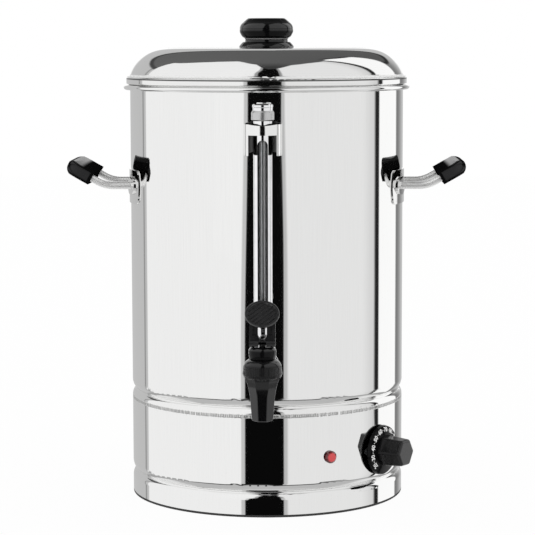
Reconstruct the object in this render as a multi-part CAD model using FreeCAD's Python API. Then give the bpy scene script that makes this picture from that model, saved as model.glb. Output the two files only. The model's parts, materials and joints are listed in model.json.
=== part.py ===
import FreeCAD, Part

import math
import os

# Ten litre hot water urn in stainless steel. Millimetres, +Z up, the tap faces -Y.
# The origin is the centre of the rubber edge ring that the urn stands on, on the counter.

# Body shell: one spun sheet from the base edge to the rolled rim
WALL_RADIUS = 115.0
SHEET = 0.8
BASE_EDGE_Z = 2.0
LOWER_GROOVE_Z = 19.9
UPPER_GROOVE_Z = 89.5
GROOVE_DEPTH = 3.7
GROOVE_VALLEY = 0.9
GROOVE_RISE_ABOVE = 7.5
GROOVE_RISE_BELOW = 5.7
RIM_TOP_Z = 346.5
RIM_BEAD = 2.1
RIM_RADIUS = 120.4

# Tank bottom: a shallow pan pressed up under the upper groove and seam welded inside the shell
TANK_FLOOR_Z = 84.5
PAN_SHEET = 1.0
PAN_KNUCKLE = 5.0
PAN_FLANGE_Z = 74.0

# Lid
LID_SHEET = 0.7
LID_SEAT_GAP = 0.3
LID_FLANGE_RADIUS = 118.1
LID_FLANGE_TOP_Z = 353.3
LID_FLANGE_BEAD = 1.8
LID_HEM = 2.2
LID_OVAL_RADIUS = 84.2
LID_OVAL_Z = 347.0
LID_CORNER_WIDTH = 31.8
LID_CORNER_HEIGHT = 29.9
LID_FLARE_ANGLE = 16.1
LID_FLARE_WIDTH = 1.5
LID_CROWN = 0.7
LID_RING_RADIUS = 113.4
LID_RING_DEPTH = 8.0

# Lid knob, turned in black phenolic
KNOB_FOOT_Z = 377.6
KNOB_TOP_Z = 401.6
KNOB_WAIST_RADIUS = 18.2
KNOB_BULGE_RADIUS = 22.5
LID_SCREW_RADIUS = 2.5

# Sight gauge, standing in front of the wall on the tap shank
GAUGE_OUT = 137.0
GUARD_RADIUS = 7.4
GUARD_WALL = 1.0
GUARD_FOOT_Z = 150.0
GUARD_TOP_Z = 317.0
GUARD_SLOT_WIDTH = 8.2
GUARD_SLOT_TOP_Z = 306.0
GUARD_SLOT_FOOT_Z = 158.0
GLASS_RADIUS = 5.0
GLASS_BORE_RADIUS = 3.4
GLASS_FOOT_Z = 141.0
GLASS_TOP_Z = 326.0
GAUGE_NUT_RADIUS = 9.0
GAUGE_NUT_FOOT_Z = 321.0
GAUGE_NUT_TOP_Z = 329.0
GAUGE_CAP_RADIUS = 8.1
GAUGE_CAP_TOP_Z = 334.0
CAP_STEP = 0.3
COLLAR_HEIGHT = 6.0
COLLAR_LIP = 1.4
BRACKET_WIDTH = 30.0
BRACKET_FRONT = 151.0
BRACKET_SHEET = 1.5
BRACKET_DIP = 1.0
BRACKET_DIP_RADIUS = 60.0
BRACKET_TOP_Z = 318.5
BRACKET_BAND_Z = 310.0
BRACKET_FOOT_Z = 294.0
BRACKET_OPENING = 22.2

# Tap: shank, body with spout, bonnet, stem, seat cup, lever
TAP_OUT = 163.0
SHANK_Z = 126.0
SHANK_RADIUS = 9.0
SHANK_BORE_RADIUS = 5.0
SHANK_INNER_END = 104.0
SHANK_SPIGOT_RADIUS = 7.5
PORT_RADIUS = 9.5
PORT_DEPTH = 10.0
PORT_STEP_Z = 146.0
PORT_TOP_Z = 153.6
SPOUT_END_Z = 88.8
SPOUT_SECTIONS = ((SPOUT_END_Z, 16.0), (107.0, 19.4), (116.0, 22.4), (123.6, 27.4))
SPOUT_CORNER = 1.2
SPOUT_LIP = 0.5
SPOUT_BORE_RADIUS = 6.0
SPOUT_BORE_LENGTH = 27.0
SEAT_Z = 119.5
SEAT_BORE_RADIUS = 5.0
CHAMBER_RADIUS = 9.6
SHOULDER_Z = 125.5
SHOULDER_RADIUS = 15.6
BODY_TOP_Z = 137.0
BONNET_RADIUS = 10.8
BONNET_TOP_Z = 147.2
STEM_RADIUS = 2.5
STEM_RUNNING_GAP = 0.06
STEM_BUTTON_RADIUS = 4.5
STEM_BUTTON_FOOT_Z = 121.6
STEM_BUTTON_TOP_Z = 123.2
CUP_HEIGHT = 5.0
PIVOT_Z = 150.3
PIN_RADIUS = 1.25
STEM_EYE_RADIUS = 2.2
LEVER_FOOT_RADIUS = 2.8
LEVER_FOOT_REACH = 5.66
LEVER_WIDTH = 20.4
LEVER_ARM_THICKNESS = 2.6
LEVER_DEPTH = 6.0
LEVER_BRIDGE_GAP = 2.9
LEVER_BRIDGE_TOP_Z = 156.0
LEVER_FORK = 6.0
LEVER_WINDOW_WIDTH = 7.0
LEVER_BAR_Z = 152.9
LEVER_WINDOW_FOOT_Z = 153.1
LEVER_WINDOW_TOP_Z = 165.0
PAD_RADIUS = 13.5
PAD_THICKNESS = 5.0
PAD_TILT = 42.0
PAD_Z = 173.6
PAD_OUT = 168.0
PAD_RIB_PITCH = 3.2
PAD_RIB_WIDTH = 1.0
SPRING_RADIUS = 5.2
SPRING_WIRE_RADIUS = 0.5
SPRING_PITCH = 2.7

# Side handles: pressed plate, bent rod and moulded grip
HANDLE_Z = 263.0
PLATE_SHEET = 1.2
PLATE_HALF_WIDTH = 50.0
PLATE_HEIGHT = 28.0
PLATE_BOW = 1.5
BOSS_WIDTH = 24.0
BOSS_HEIGHT = 15.0
BOSS_RISE = 1.8
ROD_RADIUS = 3.0
LEG_SPREAD = 32.5
ROD_KINK_OUT = 134.3
ROD_KINK_BEND = 28.0
ROD_CORNER_BEND = 9.0
ROD_INSIDE_GRIP = 12.0
GRIP_TILT = 29.5
GRIP_START_OUT = 145.4
GRIP_LENGTH = 24.2
GRIP_THICKNESS = 13.0
GRIP_CROWN = 0.8
GRIP_NOSE = 10.0
GRIP_HALF_WIDTH = 39.0
GRIP_CORNER_DEPTH = 13.0
GRIP_CORNER_WIDTH = 26.0
GRIP_PANEL_INSET = 2.4
GRIP_PANEL_DEPTH = 0.7

# Thermostat knob and pilot lamp, set in the skirt; angles are measured from the tap towards +X
THERMOSTAT_ANGLE = 55.0
THERMOSTAT_Z = 46.5
DIAL_RADIUS = 20.6
DIAL_GAP = 1.2
DIAL_THICKNESS = 4.8
DIAL_CONE_DROP = 1.6
DIAL_FLAT_RADIUS = 13.0
GRIP_HEX_ROOT = 23.6
GRIP_HEX_END = 20.8
GRIP_HEX_CORNER = 2.6
GRIP_HEX_EDGE = 2.2
KNOB_REACH = 26.5
SHAFT_RADIUS = 3.0
THERMOSTAT_SCREW_OUT = 14.0
SCREW_HOLE_RADIUS = 2.1
LAMP_ANGLE = 27.5
LAMP_Z = 47.5
LAMP_RADIUS = 5.1
LAMP_REACH = 3.6

# Cable gland at the back
GLAND_Z = 42.0
GLAND_BORE_RADIUS = 4.0
GLAND_STEM_BORE_RADIUS = 5.2
GLAND_STEM_BORE_TO = 2.5
GLAND_THREAD_RADIUS = 7.8
GLAND_REACH = 18.0

# Base: a rubber edge ring under the shell, and a screwed closing plate
TRIM_TOP_Z = 1.95
TRIM_LEG_TOP_Z = 4.9
TRIM_INNER_RADIUS = 112.9
TRIM_ROUND = 0.5
PLATE_Z = 5.0
BASE_PLATE_RADIUS = 113.6
BASE_PLATE_SHEET = 1.2
TAB_COUNT = 3
TAB_WIDTH = 14.0
TAB_SHEET = 1.5

# Heater under the tank floor
HEATER_RADIUS = 85.0
HEATER_THICKNESS = 6.0
ELEMENT_RING_RADIUS = 62.0
ELEMENT_RADIUS = 3.75
STUD_CIRCLE_RADIUS = 38.0

FIT_GAP = 0.1
WELD_GAP = 0.02

V = FreeCAD.Vector
ORIGIN = V(0, 0, 0)
X_AXIS = V(1, 0, 0)
Y_AXIS = V(0, 1, 0)
Z_AXIS = V(0, 0, 1)


def save(name, shape):
    """Writes one sub-part to its own file and prints its volume."""
    shape.exportStep("parts/" + name + ".step")
    print(f"{name}: {len(shape.Solids)} solids, {shape.Volume / 1000:.2f} cm3, valid {shape.isValid()}")


def edges_of(start, moves):
    """Lines and arcs in the X-Z plane. A move is a point, or a pair: an arc's middle and its end."""
    edges = []
    here = V(start[0], 0, start[1])
    for move in moves:
        if isinstance(move[0], tuple):
            middle = V(move[0][0], 0, move[0][1])
            end = V(move[1][0], 0, move[1][1])
            edges.append(Part.Arc(here, middle, end).toShape())
        else:
            end = V(move[0], 0, move[1])
            edges.append(Part.LineSegment(here, end).toShape())
        here = end
    return edges


def flat(start, *moves):
    """A closed face in the X-Z plane; the last line back to the start is added where it is missing."""
    last = moves[-1][1] if isinstance(moves[-1][0], tuple) else moves[-1]
    if last != start:
        moves = moves + (start,)
    return Part.Face(Part.Wire(edges_of(start, moves)))


def turned(start, *moves):
    """A solid turned about the Z axis from a closed profile of radii and heights."""
    return flat(start, *moves).revolve(ORIGIN, Z_AXIS, 360)


def oval(centre, width, height, first, last, count):
    """Arcs along an ellipse from one angle to another, each as its middle and its end."""
    step = (last - first) / (2 * count)
    angles = [math.radians(first + step * i) for i in range(1, 2 * count + 1)]
    points = [(centre[0] + width * math.cos(a), centre[1] + height * math.sin(a)) for a in angles]
    return [(points[i], points[i + 1]) for i in range(0, 2 * count, 2)]


def rod(radius, low, high):
    """A round bar on the Z axis."""
    return Part.makeCylinder(radius, high - low, V(0, 0, low))


def hexagon(across_flats, low, high):
    """A hexagonal bar on the Z axis, with a corner towards +X."""
    corner = across_flats / math.sqrt(3)
    turns = [math.radians(60 * i) for i in range(7)]
    points = [V(corner * math.cos(a), corner * math.sin(a), low) for a in turns]
    return Part.Face(Part.makePolygon(points)).extrude(V(0, 0, high - low))


def polygon_wire(sides, across_flats, round_off, height, first=0.0):
    """A regular polygon with rounded corners at a height; its first corner is at an angle from +X."""
    half = math.pi / sides
    centre = (across_flats / 2 - round_off) / math.cos(half)
    points = []
    for i in range(sides):
        angle = math.radians(first) + 2 * half * i
        for turn in (-half, 0, half):
            x = centre * math.cos(angle) + round_off * math.cos(angle + turn)
            y = centre * math.sin(angle) + round_off * math.sin(angle + turn)
            points.append(V(x, y, height))
    edges = []
    for i in range(0, len(points), 3):
        edges.append(Part.Arc(*points[i : i + 3]).toShape())
        edges.append(Part.LineSegment(points[i + 2], points[(i + 3) % len(points)]).toShape())
    return Part.Wire(edges)


def long_slot(width, low, high, y_from, y_to):
    """An upright slot with round ends, centred on X = 0."""
    half = width / 2
    top = high - half
    foot = low + half
    over = ((0, high), (-half, top))
    under = ((0, low), (half, foot))
    outline = flat((half, foot), (half, top), over, (-half, foot), under)
    return shift(outline.extrude(V(0, y_to - y_from, 0)), 0, y_from, 0)


def block(x, y, z):
    """A box given by its lowest and highest value along each axis."""
    return Part.makeBox(x[1] - x[0], y[1] - y[0], z[1] - z[0], V(x[0], y[0], z[0]))


def on_wall(shape, angle, height, out=WALL_RADIUS):
    """Moves a shape made on +Z so that its Z axis points out of the wall at an angle from the tap."""
    placed = shape.copy()
    placed.rotate(ORIGIN, X_AXIS, 90)
    placed.translate(V(0, -out, height))
    placed.rotate(ORIGIN, Z_AXIS, angle)
    return placed


def around(shape, count, first=0.0):
    """Copies of a shape, evenly spaced about the Z axis."""
    copies = []
    for i in range(count):
        copy = shape.copy()
        copy.rotate(ORIGIN, Z_AXIS, first + i * 360.0 / count)
        copies.append(copy)
    return copies


def mirrored(shape):
    """The same piece on the other side, across the plane x = 0."""
    return shape.mirror(ORIGIN, X_AXIS)


def shift(shape, x, y, z):
    """A moved copy."""
    moved = shape.copy()
    moved.translate(V(x, y, z))
    return moved


# Body shell and tank


def groove(apex_z, skin):
    """The moves of a rolled groove: two shoulders that are tangent to the wall and meet at the apex."""
    low_z = apex_z - GROOVE_RISE_BELOW
    high_z = apex_z + GROOVE_RISE_ABOVE
    low_bend = (GROOVE_DEPTH**2 + GROOVE_RISE_BELOW**2) / (2 * GROOVE_DEPTH)
    high_bend = (GROOVE_DEPTH**2 + GROOVE_RISE_ABOVE**2) / (2 * GROOVE_DEPTH)
    low = (WALL_RADIUS - low_bend, low_z, low_bend - skin)
    high = (WALL_RADIUS - high_bend, high_z, high_bend - skin)
    gap = math.dist(low[:2], high[:2])
    along = (low[2] ** 2 - high[2] ** 2 + gap**2) / (2 * gap)
    across = math.sqrt(low[2] ** 2 - along**2)
    step = ((high[0] - low[0]) / gap, (high[1] - low[1]) / gap)
    apex = (low[0] + along * step[0] + across * step[1], low[1] + along * step[1] - across * step[0])
    middles = []
    for x, z, bend in (low, high):
        half = math.atan2(apex[1] - z, apex[0] - x) / 2
        middles.append((x + bend * math.cos(half), z + bend * math.sin(half)))
    radius = WALL_RADIUS - skin
    return [(radius, low_z), (middles[0], apex), (middles[1], (radius, high_z))]


def body_shell():
    """Shell from the base edge to the rolled rim, with two grooves and its holes."""
    inner = WALL_RADIUS - SHEET
    bead_z = RIM_TOP_Z - RIM_BEAD
    bead_out = RIM_RADIUS - RIM_BEAD
    outside = groove(LOWER_GROOVE_Z, 0) + groove(UPPER_GROOVE_Z, 0)
    outside.append((WALL_RADIUS, bead_z - RIM_BEAD))
    outside.append((bead_out, bead_z - RIM_BEAD))
    outside.append(((RIM_RADIUS, bead_z), (bead_out, RIM_TOP_Z)))
    outside.append((inner + RIM_BEAD, RIM_TOP_Z))
    lip = math.sqrt(0.5) * RIM_BEAD
    outside.append(((inner + RIM_BEAD - lip, bead_z + lip), (inner, bead_z)))
    up = groove(LOWER_GROOVE_Z, SHEET) + groove(UPPER_GROOVE_Z, SHEET)
    points = [move[1] if isinstance(move[0], tuple) else move for move in up]
    inside = []
    for i in range(len(up) - 1, -1, -1):
        is_last = i == len(up) - 1
        if is_last:
            inside.append(points[i])
        after = up[i]
        if isinstance(after[0], tuple):
            inside.append((after[0], points[i - 1]))
        elif i > 0:
            inside.append(points[i - 1])
    inside.append((inner, BASE_EDGE_Z))
    shell = turned((WALL_RADIUS, BASE_EDGE_Z), *outside, *inside)
    valley = WALL_RADIUS - GROOVE_DEPTH
    valleys = [e for e in shell.Edges if abs(e.BoundBox.XMax - valley) < 0.1]
    shell = shell.makeFillet(GROOVE_VALLEY, valleys)
    ridges = [e for e in shell.Edges if e.BoundBox.XMax < valley - SHEET]
    shell = shell.makeFillet(GROOVE_VALLEY + SHEET, ridges)
    shank_hole = on_wall(rod(SHANK_RADIUS + FIT_GAP, -5, 5), 0, SHANK_Z)
    shaft_hole = on_wall(rod(SHAFT_RADIUS + 2, -5, 5), THERMOSTAT_ANGLE, THERMOSTAT_Z)
    screw_holes = []
    for side in (-1, 1):
        hole = shift(rod(SCREW_HOLE_RADIUS, -5, 5), side * THERMOSTAT_SCREW_OUT, 0, 0)
        screw_holes.append(on_wall(hole, THERMOSTAT_ANGLE, THERMOSTAT_Z))
    lamp_hole = on_wall(rod(LAMP_RADIUS - 0.4, -5, 5), LAMP_ANGLE, LAMP_Z)
    gland_hole = on_wall(rod(GLAND_THREAD_RADIUS + FIT_GAP, -5, 5), 180, GLAND_Z)
    return shell.cut([shank_hole, shaft_hole, lamp_hole, gland_hole] + screw_holes)


def tank_bottom():
    """Pan with a turned-down flange, seam welded inside the shell."""
    outer = WALL_RADIUS - SHEET - 0.05
    inner = outer - PAN_SHEET
    low = TANK_FLOOR_Z - PAN_SHEET
    turn = math.sqrt(0.5)
    bend = (outer - PAN_KNUCKLE, TANK_FLOOR_Z - PAN_KNUCKLE)
    tight = PAN_KNUCKLE - PAN_SHEET
    return turned(
        (0, low),
        (bend[0], low),
        ((bend[0] + tight * turn, bend[1] + tight * turn), (inner, bend[1])),
        (inner, PAN_FLANGE_Z),
        (outer, PAN_FLANGE_Z),
        (outer, bend[1]),
        ((bend[0] + PAN_KNUCKLE * turn, bend[1] + PAN_KNUCKLE * turn), (bend[0], TANK_FLOOR_Z)),
        (0, TANK_FLOOR_Z),
    )


# Lid


def lid_shell():
    """Pressed dome that flares into a rolled flange; the hem of the flange rests on the rim."""
    centre = (LID_OVAL_RADIUS, LID_OVAL_Z)
    width = LID_CORNER_WIDTH
    height = LID_CORNER_HEIGHT
    top_z = LID_OVAL_Z + height
    flange_z = LID_FLANGE_TOP_Z
    under_z = flange_z - LID_SHEET
    out = LID_FLANGE_RADIUS
    bead = LID_FLANGE_BEAD
    seat_z = RIM_TOP_Z + LID_SEAT_GAP
    steep = math.radians(LID_FLARE_ANGLE)
    foot = (centre[0] + width * math.cos(steep), centre[1] + height * math.sin(steep))
    inner_foot = (foot[0] - LID_SHEET * math.cos(steep), foot[1] - LID_SHEET * math.sin(steep))
    flare = LID_FLARE_WIDTH
    crown = top_z + LID_CROWN
    outer = oval(centre, width, height, 90, LID_FLARE_ANGLE, 4)
    inner = oval(centre, width - LID_SHEET, height - LID_SHEET, LID_FLARE_ANGLE, 90, 4)
    return turned(
        (LID_SCREW_RADIUS + FIT_GAP, crown),
        (KNOB_BULGE_RADIUS, crown - 0.1),
        (centre[0], top_z),
        *outer,
        ((foot[0] + flare * 0.36, flange_z + 0.6), (foot[0] + flare, flange_z)),
        (out - bead, flange_z),
        ((out - bead * 0.29, flange_z - bead * 0.29), (out, flange_z - bead)),
        (out, seat_z + 1.2),
        ((out - 0.35, seat_z + 0.35), (out - 1.2, seat_z)),
        (out - LID_HEM, seat_z),
        (out - LID_HEM, under_z),
        (foot[0] - LID_SHEET, under_z),
        inner_foot,
        *inner,
        (KNOB_BULGE_RADIUS, crown - 0.1 - LID_SHEET),
        (LID_SCREW_RADIUS + FIT_GAP, crown - LID_SHEET),
    )


def lid_ring():
    """Ring spot welded inside the flange, which drops into the tank and centres the lid."""
    top_z = LID_FLANGE_TOP_Z - LID_SHEET
    outer = LID_RING_RADIUS
    return turned(
        (outer - LID_SHEET, RIM_TOP_Z - LID_RING_DEPTH),
        (outer, RIM_TOP_Z - LID_RING_DEPTH),
        (outer, top_z - 0.05 - LID_SHEET),
        (outer + 1.6, top_z - 0.05 - LID_SHEET),
        (outer + 1.6, top_z - 0.05),
        (outer - LID_SHEET, top_z - 0.05),
    )


def lid_knob():
    """Turned knob: flared foot, waist with a fine bead, wide bulge with a parting line, chamfered cap."""
    foot = KNOB_FOOT_Z
    top = KNOB_TOP_Z
    bulge = KNOB_BULGE_RADIUS
    waist = KNOB_WAIST_RADIUS
    knob = turned(
        (0, foot),
        (23.0, foot),
        (23.0, foot + 0.8),
        ((21.6, foot + 2.6), (20.0, foot + 4.2)),
        (waist, foot + 4.6),
        (waist - 0.4, foot + 6.3),
        (waist + 0.3, foot + 6.8),
        (waist, foot + 7.4),
        ((waist + 1.8, foot + 8.4), (bulge - 1.0, foot + 10.6)),
        ((bulge - 0.1, foot + 12.6), (bulge, foot + 14.9)),
        (bulge - 0.35, foot + 15.1),
        (bulge, foot + 15.3),
        ((bulge - 0.4, foot + 17.6), (20.9, foot + 19.6)),
        (16.6, top - 0.8),
        (15.4, top),
        (0, top),
    )
    blind_hole = rod(LID_SCREW_RADIUS + FIT_GAP / 2, foot - 1, foot + 12)
    return knob.cut(blind_hole)


def lid_screw():
    """Pan head screw that holds the knob from below."""
    under = KNOB_FOOT_Z - LID_SHEET - 1.2
    head = turned((0, under - 2.6), (3.0, under - 2.6), ((4.2, under - 1.8), (4.6, under)), (0, under))
    shank = rod(LID_SCREW_RADIUS, under, KNOB_FOOT_Z + 11.5)
    slot = block((-0.6, 0.6), (-5, 5), (under - 2.7, under - 1.4))
    return head.fuse(shank).cut(slot)


def lid_washer():
    """Plain washer between the screw head and the lid."""
    under = KNOB_FOOT_Z - LID_SHEET - 1.2
    return rod(7.0, under, under + 1.1).cut(rod(LID_SCREW_RADIUS + FIT_GAP, under, under + 2))


# Sight gauge


def at_gauge(shape):
    """Moves a shape made on the Z axis to the gauge axis."""
    return shift(shape, 0, -GAUGE_OUT, 0)


def gauge_glass():
    """Glass tube, sealed at both ends."""
    bore = rod(GLASS_BORE_RADIUS, GLASS_FOOT_Z - 1, GLASS_TOP_Z + 1)
    return at_gauge(rod(GLASS_RADIUS, GLASS_FOOT_Z, GLASS_TOP_Z).cut(bore))


def gauge_guard():
    """Chromed guard tube with a long front slot that ends in a round arch at each end."""
    tube = rod(GUARD_RADIUS, GUARD_FOOT_Z, GUARD_TOP_Z)
    tube = tube.cut(rod(GUARD_RADIUS - GUARD_WALL, GUARD_FOOT_Z - 1, GUARD_TOP_Z + 1))
    slot = long_slot(GUARD_SLOT_WIDTH, GUARD_SLOT_FOOT_Z, GUARD_SLOT_TOP_Z, -GUARD_RADIUS - 1, 0)
    return at_gauge(tube.cut(slot))


def gauge_seals():
    """Two rubber rings that seal the glass in the port and under the cap."""
    ring = rod(GUARD_RADIUS - GUARD_WALL - 0.1, 0, 3).cut(rod(GLASS_RADIUS + 0.02, -1, 4))
    heights = (PORT_STEP_Z + 0.5, GUARD_TOP_Z + 0.6)
    return at_gauge(Part.makeCompound([shift(ring, 0, 0, z) for z in heights]))


def gauge_collar():
    """Threaded collar on top of the guard tube."""
    foot = GUARD_TOP_Z
    top = foot + COLLAR_HEIGHT
    inner = GUARD_RADIUS - GUARD_WALL
    collar = rod(GUARD_RADIUS - FIT_GAP, foot, top).cut(rod(inner, foot - 1, top + 1))
    lip = rod(inner + 0.2, top - COLLAR_LIP, top).cut(rod(GLASS_RADIUS + FIT_GAP, foot, top + 1))
    return at_gauge(collar.fuse(lip))


def gauge_nut():
    """Satin nut that clamps the top seal."""
    low = GAUGE_NUT_FOOT_Z
    top = GAUGE_NUT_TOP_Z
    out = GAUGE_NUT_RADIUS
    inner = GUARD_RADIUS
    seat = GUARD_TOP_Z + COLLAR_HEIGHT + FIT_GAP
    return at_gauge(
        turned(
            (inner, low),
            (out - 0.6, low),
            (out, low + 0.8),
            (out, top - 1.4),
            (out - 1.0, top),
            (GLASS_RADIUS + FIT_GAP, top),
            (GLASS_RADIUS + FIT_GAP, seat),
            (inner, seat),
        )
    )


def gauge_cap():
    """Vented cap with two steps, screwed on the nut."""
    low = GAUGE_NUT_TOP_Z
    top = GAUGE_CAP_TOP_Z
    out = GAUGE_CAP_RADIUS
    step = out - CAP_STEP
    cap = turned(
        (0, low),
        (step, low),
        (step, low + 2.2),
        (out, low + 2.8),
        (out, top - 0.7),
        (out - 0.8, top),
        (0, top),
    )
    vent = rod(1.2, low - 1, top + 1)
    return at_gauge(cap.cut(vent))


def strap(inset, back, low, high):
    """A solid with the plan of the bracket: two straight sides and a half round front."""
    x = BRACKET_WIDTH / 2 - inset
    front = BRACKET_FRONT - inset
    plan = flat((x, back), (x, front - x), ((0, front), (-x, front - x)), (-x, back))
    solid = plan.extrude(V(0, high - low, 0))
    solid.rotate(ORIGIN, X_AXIS, 90)
    solid.translate(V(0, 0, low))
    return solid


def gauge_bracket():
    """Half round strap on the wall: two legs, a band over the guard tube and two hanging prongs."""
    outer = strap(0, WALL_RADIUS - 15, BRACKET_FOOT_Z, BRACKET_TOP_Z)
    inner = strap(BRACKET_SHEET, WALL_RADIUS - 25, BRACKET_FOOT_Z - 1, BRACKET_TOP_Z + 1)
    half = BRACKET_OPENING / 2
    front = BRACKET_FRONT
    room_back = BRACKET_WIDTH / 2 - front
    opening = block((-half, half), (-front - 1, room_back), (BRACKET_FOOT_Z - 1, BRACKET_BAND_Z))
    dip_z = BRACKET_TOP_Z - BRACKET_DIP + BRACKET_DIP_RADIUS
    dip = Part.makeCylinder(BRACKET_DIP_RADIUS, 30, V(0, -GAUGE_OUT + 5, dip_z), V(0, -1, 0))
    wall = rod(WALL_RADIUS + WELD_GAP, BRACKET_FOOT_Z - 10, BRACKET_TOP_Z + 10)
    return outer.cut([inner, opening, dip, wall])


# Tap


def tap_shank():
    """Brass shank through the wall, with a flange, the upright gauge port and a threaded spigot."""
    bar = on_wall(rod(SHANK_RADIUS, SHANK_INNER_END, GAUGE_OUT + 10), 0, SHANK_Z, 0)
    flange = on_wall(rod(12.0, WALL_RADIUS + 3, WALL_RADIUS + 7), 0, SHANK_Z, 0)
    spigot = on_wall(rod(SHANK_SPIGOT_RADIUS, GAUGE_OUT + 9, GAUGE_OUT + 15.5), 0, SHANK_Z, 0)
    wide = PORT_RADIUS
    foot = SHANK_Z - PORT_DEPTH
    top = PORT_TOP_Z
    port = turned(
        (0, foot),
        (wide, foot),
        (wide, PORT_STEP_Z),
        (wide - 0.5, PORT_STEP_Z + 1),
        (wide - 0.5, top - 0.6),
        (wide - 1.1, top),
        (0, top),
    )
    bore = on_wall(rod(SHANK_BORE_RADIUS, SHANK_INNER_END - 1, GAUGE_OUT + 20), 0, SHANK_Z, 0)
    glass_seat = rod(GLASS_RADIUS + FIT_GAP, GLASS_FOOT_Z - 1, top + 1)
    glass_way = rod(GLASS_BORE_RADIUS, SHANK_Z, GLASS_FOOT_Z)
    guard_socket = rod(GUARD_RADIUS + 0.05, PORT_STEP_Z, top + 1)
    solid = bar.fuse([flange, spigot, at_gauge(port)])
    solid = solid.cut([bore] + [at_gauge(room) for room in (glass_seat, glass_way, guard_socket)])
    return solid.removeSplitter()


def tap_washers():
    """Rubber washer outside and inside the wall, each shaped to the wall by clamping."""
    ring = rod(11.5, -6, 6).cut(rod(SHANK_RADIUS + FIT_GAP, -7, 7))
    ring = on_wall(ring, 0, SHANK_Z)
    outer_wall = Part.makeCylinder(WALL_RADIUS + 0.02, 60, V(0, 0, 100))
    flange_face = block((-20, 20), (-WALL_RADIUS - 2.98, -90), (100, 150))
    outside = ring.common(flange_face).cut(outer_wall)
    inner_wall = Part.makeCylinder(WALL_RADIUS - SHEET - 0.02, 60, V(0, 0, 100))
    nut_face = block((-20, 20), (-120, -WALL_RADIUS + SHEET + 3.0), (100, 150))
    inside = ring.common(nut_face).common(inner_wall)
    return Part.makeCompound([outside, inside])


def tap_lock_nut():
    """Hexagonal nut on the shank, inside the tank."""
    out = WALL_RADIUS - SHEET - 3.05
    nut = hexagon(22.0, -out, -out + 5.5).cut(rod(SHANK_RADIUS + 0.02, -out - 1, -out + 7))
    nut.rotate(ORIGIN, X_AXIS, -90)
    nut.translate(V(0, 0, SHANK_Z))
    return nut


def at_tap(shape):
    """Moves a shape made on the Z axis to the tap's upright axis."""
    return shift(shape, 0, -TAP_OUT, 0)


def tap_spout():
    """Eight-sided spout that flares in a hollow curve up to the shoulder, a flat towards -Y."""
    wires = [polygon_wire(8, across, SPOUT_CORNER, height, 22.5) for height, across in SPOUT_SECTIONS]
    spout = Part.makeLoft(wires, True, False)
    lip = [e for e in spout.Edges if e.BoundBox.ZMax < SPOUT_END_Z + 0.01]
    return spout.makeChamfer(SPOUT_LIP, lip)


def tap_body():
    """Moulded body: flared spout, seat, valve chamber inside a round shoulder, and the inlet barrel."""
    wide = SHOULDER_RADIUS
    shoulder = turned(
        (0, SEAT_Z + 1.5),
        (12.0, SEAT_Z + 1.5),
        (wide - 1.0, SHOULDER_Z - 2.2),
        (wide, SHOULDER_Z),
        (wide - 0.6, 130.6),
        ((wide - 1.8, 134.4), (CHAMBER_RADIUS + 0.9, BODY_TOP_Z)),
        (0, BODY_TOP_Z),
    )
    inlet = on_wall(rod(10.6, GAUGE_OUT + 10.2, TAP_OUT), 0, SHANK_Z, 0)
    solid = at_tap(tap_spout().fuse(shoulder)).fuse(inlet)
    spout_bore = at_tap(rod(SPOUT_BORE_RADIUS, SPOUT_END_Z - 1, SPOUT_END_Z + SPOUT_BORE_LENGTH))
    seat_bore = at_tap(rod(SEAT_BORE_RADIUS, SPOUT_END_Z, SEAT_Z + 1))
    chamber = at_tap(rod(CHAMBER_RADIUS, SEAT_Z, BODY_TOP_Z + 1))
    inlet_bore = on_wall(rod(SHANK_BORE_RADIUS, GAUGE_OUT + 9, TAP_OUT), 0, SHANK_Z, 0)
    socket = rod(SHANK_SPIGOT_RADIUS + 0.05, GAUGE_OUT + 9, GAUGE_OUT + 16.5)
    spigot_socket = on_wall(socket, 0, SHANK_Z, 0)
    back_half = block((-20, 20), (-TAP_OUT, -TAP_OUT + 30), (100, 150))
    body = solid.cut([spout_bore, seat_bore, chamber, inlet_bore.common(back_half), spigot_socket])
    return body.removeSplitter()


def tap_bonnet():
    """Barrel shaped cap screwed into the body; its bore guides the stem."""
    top = BONNET_TOP_Z
    out = BONNET_RADIUS
    guide = STEM_RADIUS + STEM_RUNNING_GAP
    return at_tap(
        turned(
            (guide, BODY_TOP_Z - 3),
            (CHAMBER_RADIUS - FIT_GAP, BODY_TOP_Z - 3),
            (CHAMBER_RADIUS - FIT_GAP, BODY_TOP_Z + 0.05),
            (out - 1.1, BODY_TOP_Z + 0.05),
            ((out - 0.15, BODY_TOP_Z + 3.2), (out, top - 4.4)),
            ((out - 0.9, top - 1.4), (out - 3.2, top)),
            (guide, top),
        )
    )


def tap_stem():
    """Valve stem with a button for the seat cup and a flat-sided eye for the lever pin."""
    shaft = rod(STEM_RADIUS, 122.0, PIVOT_Z - 1)
    button = rod(STEM_BUTTON_RADIUS, STEM_BUTTON_FOOT_Z, STEM_BUTTON_TOP_Z)
    eye = Part.makeCylinder(STEM_EYE_RADIUS, 10.0, V(-5, 0, PIVOT_Z), X_AXIS)
    pin_hole = Part.makeCylinder(PIN_RADIUS, 20, V(-10, 0, PIVOT_Z), X_AXIS)
    return at_tap(shaft.fuse([button, eye]).cut(pin_hole)).removeSplitter()


def seat_cup():
    """Silicone cup that closes the seat, snapped over the button of the stem."""
    low = SEAT_Z + 0.02
    top = SEAT_Z + CUP_HEIGHT
    cup = turned((0, low), (7.6, low), (8.2, SEAT_Z + 1.4), (5.9, top), (0, top))
    button = rod(STEM_BUTTON_RADIUS, STEM_BUTTON_FOOT_Z, STEM_BUTTON_TOP_Z)
    return at_tap(cup.cut(button.fuse(rod(STEM_RADIUS, STEM_BUTTON_FOOT_Z, top + 1))))


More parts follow.
